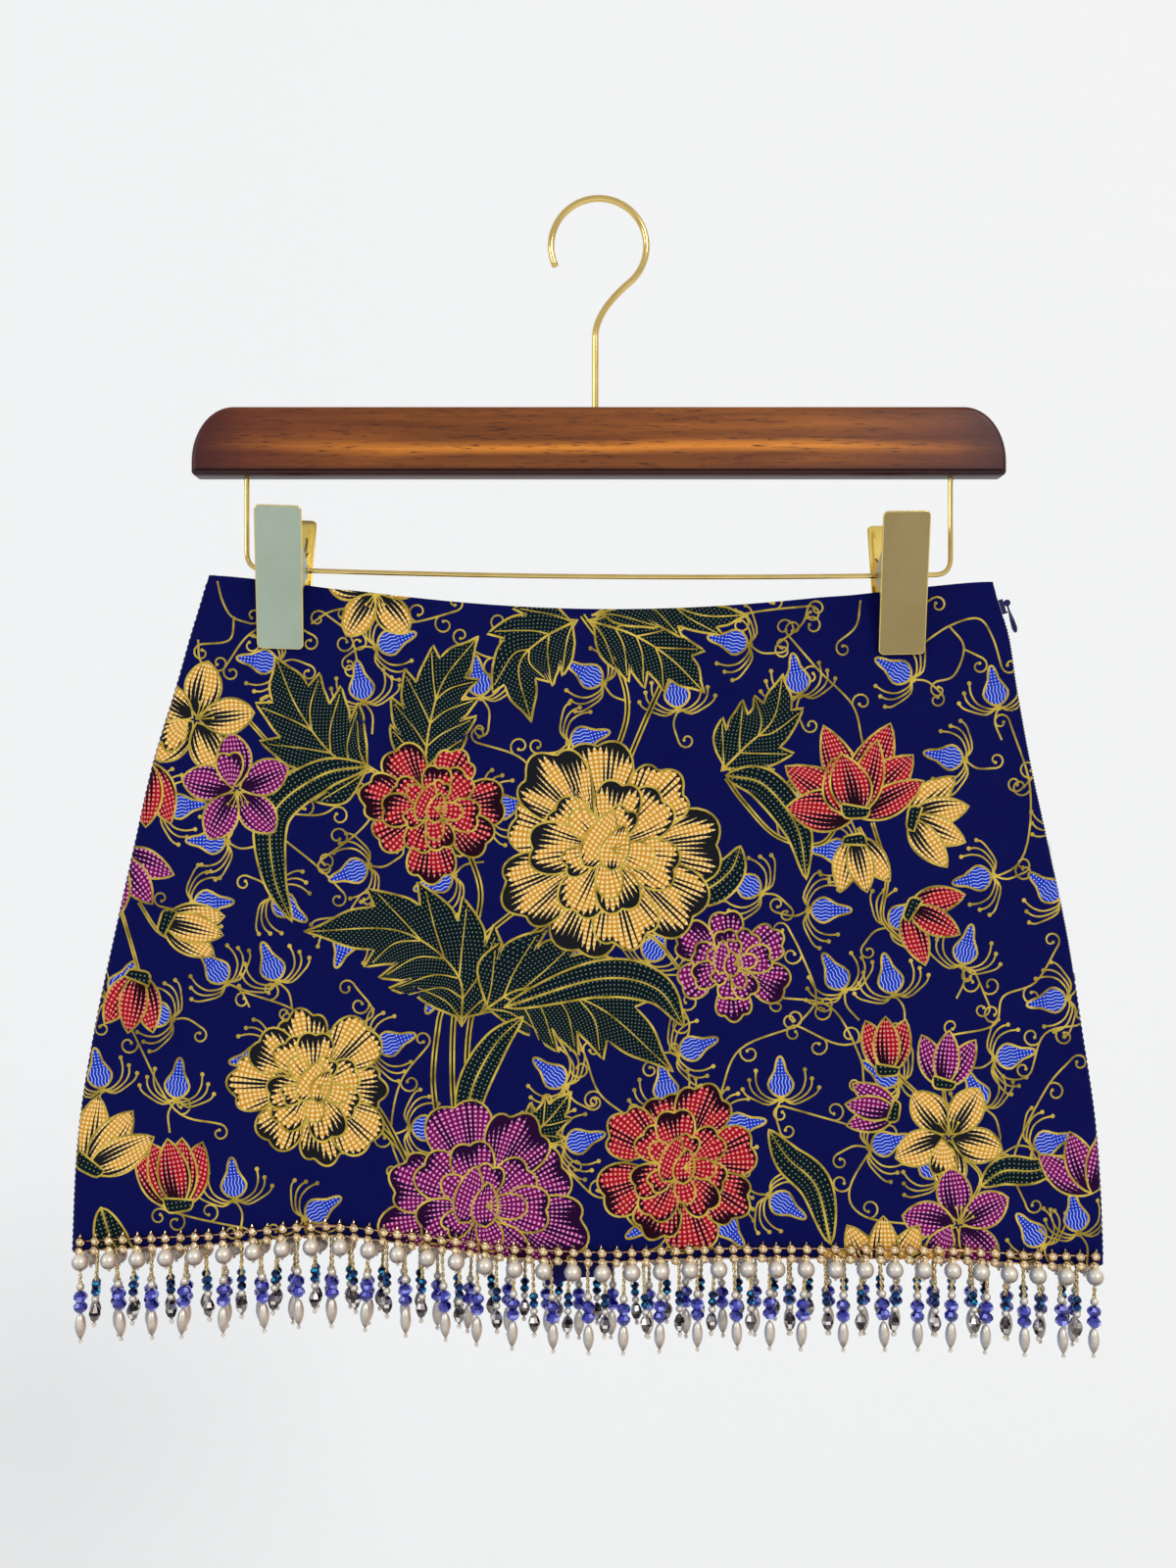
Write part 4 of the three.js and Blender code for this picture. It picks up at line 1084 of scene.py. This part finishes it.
def make_trim(panel):
    """The whole trim of one panel, one piece for each kind of bead or wire."""
    outwards = -1 if panel == "front" else 1
    facing = -outwards * math.pi / 2
    cups, stones, wires, pearls, seeds = Heap(), Heap(), Heap(), Heap(), Heap()
    threads, blues, darks, drops = Heap(), Heap(), Heap(), Heap()
    xs, zs = hem_places(CUP_PITCH, 1.9, panel)
    for number, (x, z) in enumerate(zip(xs, zs)):
        tip = 0.16 * math.sin(number * 2.7)
        for down, crown in ((0, True), (ROW_GAP, False)):
            seat = cloth_point(x + 0.25 * math.sin(number * 1.9 + down), z - down + tip, panel, 1.35)
            shape, faces = turned_profile(CUP, 10)
            cups.add(turned(shape, facing, 0, seat), faces)
            shape, faces = turned_profile(STONE, 7, 0.22)
            stones.add(turned(shape, facing, 0.3 * math.sin(number * 3.1 + down), seat), faces)
            for k in range(4):
                angle = math.pi / 4 + k * math.pi / 2
                shape, faces = turned_profile(PRONG, 4)
                shape = shape + np.array([1.66 * math.cos(angle), 1.66 * math.sin(angle), 0])
                cups.add(turned(shape, facing, 0, seat), faces)
            if crown:
                shape, faces = turned_profile(CROWN, 5)
                above = seat + np.array([0, outwards * 0.4, 0])
                cups.add(turned(shape, 0, 0.12 * math.sin(number), above), faces)
    along = np.linspace(xs[0], xs[-1], 120)
    for down in (0, ROW_GAP):
        path = cloth_point(along, np.interp(along, xs, zs) - down, panel, 1.15)
        wires.add(*tube(path, 0.34, 5))
    for x, z in zip(xs, zs):
        wires.add(*tube(cloth_point(np.full(3, x), z - np.array([0.8, 2.0, 3.2]), panel, 1.3), 0.34, 5))
    for start, end in ((-128, -107), (149, 160)):
        inside = np.linspace(start, end, 14)
        path = cloth_point(inside, np.interp(inside, xs, zs) + 0.4, panel, 2.3)
        wires.add(*tube(path, 0.62, 6))
    xs, zs = hem_places(PEARL_PITCH, 3.7, panel)
    for number, (x, z) in enumerate(zip(xs, zs)):
        seat = cloth_point(x, z, panel, 2.6)
        shape, faces = turned_profile(round_bead(3.7, 7.3, 13), 22)
        pearls.add(turned(shape, 0.2 * math.sin(number), 0, (seat[0], seat[1], z - 8.4)), faces)
        shape, faces = turned_profile(round_bead(0.75, 1.2, 5), 8)
        seeds.add(shape + np.array([seat[0], seat[1], z - 12.6]), faces)
        link = [(seat[0], seat[1], z - 5.2), (seat[0], seat[1], z - 4.6), (seat[0], seat[1], z - 3.4)]
        wires.add(*tube(link, 0.3, 5))
    xs, zs = hem_places(STRAND_PITCH, 3 if panel == "front" else 3 + STRAND_PITCH / 2, panel)
    swing_start = 0 if panel == "front" else 1.3
    for i, (x, z) in enumerate(zip(xs, zs)):
        long = (i + (0 if panel == "front" else 1)) % 2 == 0
        root = cloth_point(x, z, panel, 1.7)
        length = 43.6 if long else 37.4
        sway = (1.5 + 1.1 * math.sin(i * 1.3)) * math.sin(i * 2.4 + swing_start) / length
        lean = 0.5 * math.sin(i * 3.7 + 0.6) / length
        slip = 0.5 * math.sin(i * 5.1)
        at = (root[0], root[1], z)
        ply = 0.44
        for phase in (0, math.pi):
            turn = np.linspace(0, 5.2 * math.pi, 40)
            top, low = -3.6, (-17.6 if long else -17.4) - slip
            across, depth = ply * np.cos(turn + phase), ply * np.sin(turn + phase)
            path = np.stack([across, depth, np.linspace(top, low, 40)], -1)
            shape, faces = tube(path, ply, 4)
            threads.add(turned(shape, lean, sway, at), faces)
        shape, faces = tube([(0, 0, low), (0, 0, -30), (0, 0, -length + 1.2)], 0.2, 4)
        threads.add(turned(shape, lean, sway, at), faces)
        if long:
            beads = [(pearls, round_bead(1.75, 3.6, 7), 12, -19.2 - slip),
                     (blues, faceted(2.95, 4.5), 9, -23.3 - slip),
                     (blues, faceted(2.95, 4.5), 9, -27.8 - slip),
                     (pearls, PEARL_DROP, 14, -35.9),
                     (seeds, round_bead(0.95, 1.9, 5), 8, -42.4)]
        else:
            beads = [(darks, faceted(1.95, 3.1), 8, -19 - slip),
                     (darks, faceted(1.95, 3.1), 8, -22.1 - slip),
                     (pearls, round_bead(1.65, 3.1, 7), 12, -25.2 - slip),
                     (drops, CUT_DROP, 8, -30.6),
                     (seeds, round_bead(1.0, 2.3, 5), 8, -35.6)]
        for k, (heap, profile, sides, middle) in enumerate(beads):
            shape, faces = turned_profile(profile, sides)
            c, s = math.cos(i * 1.7 + k), math.sin(i * 1.7 + k)
            across, depth, height = shape.T
            shape = np.stack([across * c - depth * s, across * s + depth * c, height + middle], -1)
            heap.add(turned(shape, lean, sway, at), faces)
    name = panel + "_hem_"
    made = [
        cups.piece(name + "cups", cup_gold, "gold", False),
        stones.piece(name + "stones", crystal, "crystal", False),
        wires.piece(name + "wires", link_gold, "gold"),
        pearls.piece(name + "pearls", pearl, "pearl"),
        seeds.piece(name + "seeds", seed_glass, "crystal"),
        threads.piece(name + "threads", gold_thread, "gold_thread"),
        blues.piece(name + "blue_beads", blue_glass, "blue_glass", False),
        darks.piece(name + "dark_beads", dark_bead, "dark_bead", False),
        drops.piece(name + "drops", hematite, "dark_bead", False),
    ]
    for piece in made:
        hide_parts("trim_" + panel)
    return made


front_trim = make_trim("front")
back_trim = make_trim("back")


# The hem's loose end: a short tongue of the back panel's allowance that hangs below the trim, in plain navy.
# It is one layer of cotton, held only at its top.
def make_tongue():
    start, end, top = -23, 6, -441
    xs = np.linspace(start, end, 15)
    rows = []
    for share in np.linspace(0, 1, 9):
        low = -466.5 + 3.4 * soft((xs - start) / 16) + 1.4 * soft((xs - 2) / 4)
        z = top + (low - top) * share
        rows.append(cloth_point(xs, z, "back", -1.0 + 0.5 * np.sin(xs / 5 + 2 * share) * share))
    near = np.array(rows).reshape(-1, 3)
    far = near + np.array([0, 0.35, 0])
    count = len(xs)
    faces = []
    for row in range(8):
        for k in range(count - 1):
            a = row * count + k
            faces.append((a, a + count, a + count + 1, a + 1))
            b = a + len(near)
            faces.append((b, b + 1, b + count + 1, b + count))
    rim = [*range(count), *range(2 * count - 1, 9 * count, count),
           *range(9 * count - 2, 8 * count - 1, -1), *range(7 * count, 0, -count)]
    for a, b in zip(rim, rim[1:] + rim[:1]):
        faces.append((a, b, b + len(near), a + len(near)))
    return make_piece("hem_allowance", np.concatenate([near, far]), faces, reverse)


tongue = make_tongue()


# The wooden bar of the hanger: walnut-stained hardwood, one piece with its long edges rounded over and its
# ends cut to a quarter round, under a satin lacquer. Its colour grows darker towards both ends, a lighter
# golden streak runs along its face, and a painted shade darkens its underside.
walnut = Finish("walnut", Roughness=0.38, Coat_Weight=0.06, Coat_Roughness=0.3, Specular_IOR_Level=0.2)
where = walnut.place()
x_part = walnut.node("SeparateXYZ", output="X", Vector=where)
z_part = walnut.node("SeparateXYZ", output="Z", Vector=where)
drift = walnut.noise(60, 2.0, (0.5, 1, 1))
figure = walnut.noise(5.5, 4.0, (0.045, 1, 1))
pores = walnut.noise(0.7, 2.0, (0.09, 1, 1))
broad = walnut.noise(26, 2.0, (0.12, 1, 1))
tone = walnut.mix((figure * 2.2 - 0.6).clipped(), hue(88, 40, 16), hue(164, 94, 36))
tone = walnut.mix((broad * 3.4 - 1.5).clipped(), tone, hue(98, 50, 24))
# a lighter golden streak along the middle of the face, broken up by the figure
golden_streak = 1 - abs(z_part * 1000 + 106.5 + (drift - 0.5) * 6) / 3.6
tone = walnut.mix((golden_streak * figure * 1.5).clipped(), tone, hue(226, 138, 48))
# darker towards both ends, and darker still on the quarter rounds
end_dark = ((abs(x_part * 1000 - 2) - 92) / 80).clipped()
tone = walnut.mix((end_dark * 0.95).clipped(), tone, hue(84, 34, 30))
very_end = ((abs(x_part * 1000) - 150) / 24).clipped()
tone = walnut.mix((very_end * 0.7).clipped(), tone, hue(52, 22, 26))
# painted shade: the lowest few millimetres of the bar, its underside, are darkened
painted_underside_shade = ((-114.0 - z_part * 1000) / 2.6).clipped()
tone = walnut.mix((painted_underside_shade * 0.92).clipped(), tone, hue(42, 16, 22))
tone = walnut.mix(((pores - 0.56) * 5).clipped(), tone, hue(58, 28, 18))
walnut.paint(Base_Color=tone)
walnut.relief(pores + figure * 0.5, 0.12, 0.4)


def make_bar():
    straight, tall, shoulder = 155.5, 23.5, -112.5
    foot, corner, low = 171.5, 2, -116.2
    angle = np.linspace(0, math.pi / 2, 22)
    under = angle[::4] - math.pi / 2
    right_top = np.stack([straight + 18 * np.cos(angle), shoulder + tall * np.sin(angle)], -1)
    right_low = np.stack([foot + corner * np.cos(under), low + corner * np.sin(under)], -1)
    top = np.stack([np.linspace(straight, -straight, 40)[1:-1], np.full(38, shoulder + tall)], -1)
    bottom = np.stack([np.linspace(-foot, foot, 40)[1:-1], np.full(38, low - corner)], -1)
    left_top = right_top[::-1] * np.array([-1, 1])
    left_low = right_low[::-1] * np.array([-1, 1])
    outline = np.concatenate([right_low, right_top, top, left_top, left_low, bottom])
    layers = []
    for out, depth in [(2.4, 5.98), (1.5, 5.9), (0.75, 5.5), (0.25, 4.9), (0, 4.0)]:
        layers.append((-depth, widened(outline, -out)))
    layers += [(-depth, flat_layer) for depth, flat_layer in reversed(layers)]
    points = []
    for y, flat in layers:
        points += list(np.stack([flat[:, 0], np.full(len(flat), y), flat[:, 1]], -1))
    count = len(outline)
    faces = []
    for k in range(len(layers) - 1):
        for i in range(count):
            j = (i + 1) % count
            faces.append((k * count + i, k * count + j, (k + 1) * count + j, (k + 1) * count + i))
    faces.append(tuple(reversed(range(count))))
    faces.append(tuple(range((len(layers) - 1) * count, len(layers) * count)))
    bar = make_piece("wooden_bar", points, faces, walnut)
    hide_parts("hanger_bar")


make_bar()


# The hook and the wire under the bar: round steel wire, bent cold and plated in polished gold, each driven
# into a hole in the wood.
plated = Finish("polished_gold", Metallic=1.0, Roughness=0.14)
tarnish = plated.noise(14, 2.0)
plated.paint(Base_Color=plated.mix(tarnish, hue(206, 172, 92), hue(244, 218, 148)))
scratch = plated.noise(1.0, 2.0, (1, 1, 0.2))
plated.relief(scratch, 0.02, 0.25)


def make_hook():
    centre, bend, shank_at = -19.0, 20.45, -1.5
    turn = math.radians(-50)
    start = np.array([bend * math.cos(turn), 0, centre + bend * math.sin(turn)])
    heading = np.array([-math.sin(turn), 0, math.cos(turn)])
    low = np.array([shank_at, 0, -58.0])
    t = np.linspace(0, 1, 20)[:, None]
    second = low + np.array([0, 0, 9.0])
    third = start - 9 * heading
    neck = (1 - t)**3 * low + 3 * (1 - t)**2 * t * second + 3 * (1 - t) * t * t * third + t**3 * start
    angle = np.radians(np.linspace(-50, 205, 72)[1:])
    arc = np.stack([bend * np.cos(angle), 0 * angle, centre + bend * np.sin(angle)], -1)
    shank = np.stack([np.full(12, shank_at), np.zeros(12), np.linspace(-101, -58.5, 12)], -1)
    hook = Heap()
    hook.add(*tube(np.concatenate([shank, neck, arc]), 1.45, 16))
    made = hook.piece("hook_wire", plated, "gold")
    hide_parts("hook")


WIRE_REACH = 150.8
WIRE_LEFT = -157.2
WIRE_RIGHT = -159.8


def wire_height(x):
    """The height of the wire bar, which sags a little between its legs."""
    share = (x + WIRE_REACH) / (2 * WIRE_REACH)
    return WIRE_LEFT + (WIRE_RIGHT - WIRE_LEFT) * share - 8.8 * share * (1 - share)


def make_wire():
    inner = 143.8
    lows = [wire_height(-inner), wire_height(inner)]
    t = np.linspace(0, 1, 12)[:, None]
    legs = []
    for hand, low in ((-1, lows[0]), (1, lows[1])):
        leg = np.array([hand * WIRE_REACH, 0, low + 7])
        corner = np.array([hand * WIRE_REACH, 0, low])
        foot = np.array([hand * inner, 0, low])
        bend = (1 - t)**2 * leg + 2 * (1 - t) * t * corner + t**2 * foot
        heights = np.linspace(-108.4, low + 7.5, 10)
        rise = np.stack([np.full(10, hand * WIRE_REACH), np.zeros(10), heights], -1)
        legs.append(np.concatenate([rise, bend]))
    t = np.linspace(0, 1, 40)[1:-1, None]
    first, last = legs[0][-1], legs[1][-1]
    middle = np.array([0, 0, 2 * wire_height(0) - (lows[0] + lows[1]) / 2])
    span = (1 - t)**2 * first + 2 * (1 - t) * t * middle + t**2 * last
    wire = Heap()
    wire.add(*tube(np.concatenate([legs[0], span, legs[1][::-1]]), 1.1, 14))
    made = wire.piece("clip_wire", plated, "gold")
    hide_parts("wire_bar")


make_hook()
make_wire()


# Two spring clips that slide on the wire. Each has two pressed plates with folded edges, hinged on the wire,
# and a coil spring round it. The front plates are satin plated, the back ones polished, and the folds catch
# the light.
sage = Finish("satin_sage_plate", Metallic=0.35, Roughness=0.42)
brushed = sage.noise(1.2, 2.0, (1, 1, 0.08))
cloudy = sage.noise(22, 2.0)
sage.paint(Base_Color=sage.mix((cloudy * 0.8 + brushed * 0.3 - 0.1).clipped(), hue(150, 165, 146),
                               hue(176, 190, 172)))
sage.relief(brushed, 0.02, 0.3)
champagne = Finish("satin_champagne_plate", Metallic=0.4, Roughness=0.42)
brushed = champagne.noise(1.2, 2.0, (1, 1, 0.08))
cloudy = champagne.noise(22, 2.0)
champagne.paint(Base_Color=champagne.mix((cloudy * 0.8 + brushed * 0.3 - 0.1).clipped(), hue(138, 118, 72),
                                         hue(164, 144, 96)))
champagne.relief(brushed, 0.02, 0.3)
bright = Finish("bright_fold", Metallic=1.0, Roughness=0.16)
fold_tone = bright.noise(9, 2.0)
bright.paint(Base_Color=bright.mix(fold_tone, hue(232, 196, 84), hue(250, 226, 140)))
steel = Finish("spring_steel", Metallic=1.0, Roughness=0.3)
oiled = steel.noise(3, 2.0)
steel.paint(Base_Color=steel.mix(oiled, hue(130, 128, 122), hue(196, 192, 184)))


def clip_point(local, clip_x):
    """A point given on a clip, at its place on the wire."""
    tilt = math.atan(wire_height(clip_x + 0.5) - wire_height(clip_x - 0.5))
    x, y, z = np.asarray(local, float).T
    return np.stack([x * math.cos(tilt) - z * math.sin(tilt) + clip_x, y,
                     x * math.sin(tilt) + z * math.cos(tilt) + wire_height(clip_x)], -1)


def make_clip(name, clip_x, face_finish):
    """The finishes of a clip's two plates, the folded edges round them, and the spring."""
    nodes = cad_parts
    for jaw, finish in (("_front_jaw", face_finish), ("_back_jaw", bright)):
        nodes[name + jaw].data.materials.clear()
        nodes[name + jaw].data.materials.append(finish.material)
    half, top, low = 7.7, 22.2, -31.9
    rims = Heap()
    for hand in (-1, 1):
        corners = []
        for cx, cz, begin in ((half, top, 0), (-half, top, 90), (-half, low, 180), (half, low, 270)):
            for step in range(7):
                angle = math.radians(begin + 15 * step)
                corners.append((cx + 1.95 * math.cos(angle), cz + 1.95 * math.sin(angle)))
        corners = np.array(corners + corners[:2])
        out = 2.85 + (corners[:, 1] + 34) * 14.95 / 58.4
        path = np.stack([corners[:, 0], hand * (out - 0.3), corners[:, 1]], -1)
        shape, faces = tube(path, 0.36, 8)
        rims.add(clip_point(shape, clip_x), faces)
    rims.piece(name + "_folds", bright, "gold")
    spring = Heap()
    turn = np.linspace(0, 9 * 2 * math.pi, 220)
    coil = np.stack([np.linspace(-6.3, 6.3, 220), 2.2 * np.cos(turn), 2.2 * np.sin(turn)], -1)
    arm_up = [(6.3, 2.2, 0), (6.4, 4.6, 3.5), (6.4, 9.6, 9), (6.4, 12.6, 13), (6.4, 13.6, 16)]
    arm_down = [(-6.3, 0.5, 2.1), (-6.4, -4.6, 4.5), (-6.4, -9.6, 9.5), (-6.4, -12.6, 13), (-6.4, -13.6, 16)]
    shape, faces = tube(np.concatenate([coil, np.array(arm_up)]), 0.45, 6)
    spring.add(clip_point(shape, clip_x), faces)
    shape, faces = tube(np.array(arm_down), 0.45, 6)
    spring.add(clip_point(shape, clip_x), faces)
    made = spring.piece(name + "_coil", steel, "steel")
    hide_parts(name + "_spring")


make_clip("clip_left", CLIP_PLACES[0][0], sage)
make_clip("clip_right", CLIP_PLACES[1][0], champagne)


# The concealed zip in the side seam: woven navy tape with a fine nylon coil sewn along it, an enamelled
# slider and its drop-shaped pull, which hangs on the slider's pin.
enamel = Finish("navy_enamel", Roughness=0.22, Coat_Weight=0.15, Specular_IOR_Level=0.25)
dip = enamel.noise(2.4, 1.0)
enamel.paint(Base_Color=enamel.mix(dip, hue(8, 8, 54), hue(26, 26, 92)))
zip_cloth = Finish("zip_tape", Roughness=0.7)
rib = zip_cloth.noise(0.5, 1.0, (1, 1, 0.1))
rib_up = zip_cloth.noise(0.5, 1.0, (0.1, 1, 1))
zip_cloth.paint(Base_Color=zip_cloth.mix(rib, hue(14, 14, 70), hue(34, 34, 104)))
zip_cloth.relief(rib + rib_up, 0.12, 0.6)
for node, finish in (("zip_slider", enamel), ("zip_pull", enamel), ("zip_tape", zip_cloth)):
    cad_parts[node].data.materials.clear()
    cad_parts[node].data.materials.append(finish.material)


def make_coil():
    turns, wound = 110, 0.62
    turn = np.linspace(0, 2 * math.pi * turns, 8 * turns)
    z = np.linspace(-178, -329, 8 * turns)
    path = np.stack([side_right(z) + 0.25 + wound * np.cos(turn), wound * np.sin(turn), z], -1)
    coil = Heap()
    coil.add(*tube(path, 0.2, 4))
    coil.piece("zip_coil", enamel, "tape")


make_coil()


# The two side seams: a narrow ridge where the panels are joined, held by navy thread, with the bar tack at
# the foot of the zip and the cut ends of white thread above it.
seam_thread = Finish("seam_thread", Roughness=0.6)
fibre = seam_thread.noise(0.6, 1.0)
seam_thread.paint(Base_Color=seam_thread.mix(fibre, hue(20, 22, 86), hue(54, 56, 128)))
white_thread = Finish("white_thread", Roughness=0.6)
fibre = white_thread.noise(0.6, 1.0)
white_thread.paint(Base_Color=white_thread.mix(fibre, hue(206, 204, 214), hue(244, 243, 246)))


def make_seams():
    ridge, stitches, ends = Heap(), Heap(), Heap()
    for side, hand, top, low in ((side_left, -1, -161, -449), (side_right, 1, -332, -452)):
        z = np.linspace(top, low, 90)
        ridge.add(*tube(np.stack([side(z) + 0.2 * hand, 0 * z, z], -1), 0.42, 6))
        for start in np.arange(top - 3, low, -2.6):
            run = np.array([start, start - 0.9, start - 1.8])
            for y in (-1.5, 1.5):
                out = side(run) + hand * np.array([0.18, 0.46, 0.18])
                stitches.add(*tube(np.stack([out, np.full(3, y), run], -1), 0.17, 5))
    for k in range(9):
        z = -330.5 - 0.4 * k
        across = np.linspace(-1.6, 1.6, 4)
        stitches.add(*tube(np.stack([side_right(np.full(4, z)) + 0.62, across, np.full(4, z)], -1), 0.16, 5))
    for k, lean in enumerate((-0.5, 0.35, 0.9)):
        t = np.linspace(0, 1, 6)
        z = -273.5 - 1.7 * k - 2.2 * t
        ends.add(*tube(np.stack([side_right(z) + 0.5 + 0.9 * t, lean * t - 0.8, z], -1), 0.13, 5))
    ridge.piece("side_seams", reverse, "cotton")
    stitches.piece("seam_stitches", seam_thread, "cotton")
    ends.piece("thread_ends", white_thread, "cotton")


make_seams()


# The set: a pale floor and wall that glow faintly, a large soft light from the front right, a weak cool one
# from the left and a level camera.
def make_stage(name, points):
    mesh = bpy.data.meshes.new(name)
    mesh.from_pydata(points, [], [(0, 1, 2, 3)])
    paper = Finish(name + "_paper", Base_Color=hue(240, 240, 240), Roughness=0.9)
    paper.shader.inputs["Emission Color"].default_value = (1, 1, 1, 1)
    paper.shader.inputs["Emission Strength"].default_value = 0.08
    mesh.materials.append(paper.material)
    sheet = bpy.data.objects.new(name, mesh)
    bpy.context.collection.objects.link(sheet)


make_stage("wall", [(-6, 1.6, -1.6), (6, 1.6, -1.6), (6, 1.6, 4), (-6, 1.6, 4)])
make_stage("floor", [(-6, -6, -1.6), (6, -6, -1.6), (6, 1.6, -1.6), (-6, 1.6, -1.6)])


def make_light(name, place, aim, size, power, colour=(1.0, 1.0, 1.0)):
    lamp = bpy.data.lights.new(name, "AREA")
    lamp.size = size
    lamp.energy = power
    lamp.color = colour
    holder = bpy.data.objects.new(name, lamp)
    direction = np.array(aim) - np.array(place)
    holder.rotation_euler = Vector(direction).to_track_quat("-Z", "Y").to_euler()
    holder.location = place
    bpy.context.collection.objects.link(holder)


make_light("key_light", (2.4, -4.6, 2.4), (0, 0, -0.3), 1.3, 104)
make_light("window_light", (-2.4, -2.0, 0.6), (0, 0, -0.3), 0.8, 16, (0.8, 0.9, 1.0))
world = bpy.data.worlds.new("studio")
world.use_nodes = True
world.node_tree.nodes["Background"].inputs[0].default_value = (1.0, 1.0, 1.0, 1)
world.node_tree.nodes["Background"].inputs[1].default_value = 0.62
bpy.context.scene.world = world
bpy.context.scene.view_settings.view_transform = "Standard"

lens = bpy.data.cameras.new("camera")
lens.lens = 33.2
lens.sensor_width = 36
lens.sensor_fit = "AUTO"
camera = bpy.data.objects.new("camera", lens)
camera.location = (-0.0046, -0.620, -0.2496)
camera.rotation_euler = (math.pi / 2, 0, 0)
bpy.context.collection.objects.link(camera)
bpy.context.scene.camera = camera
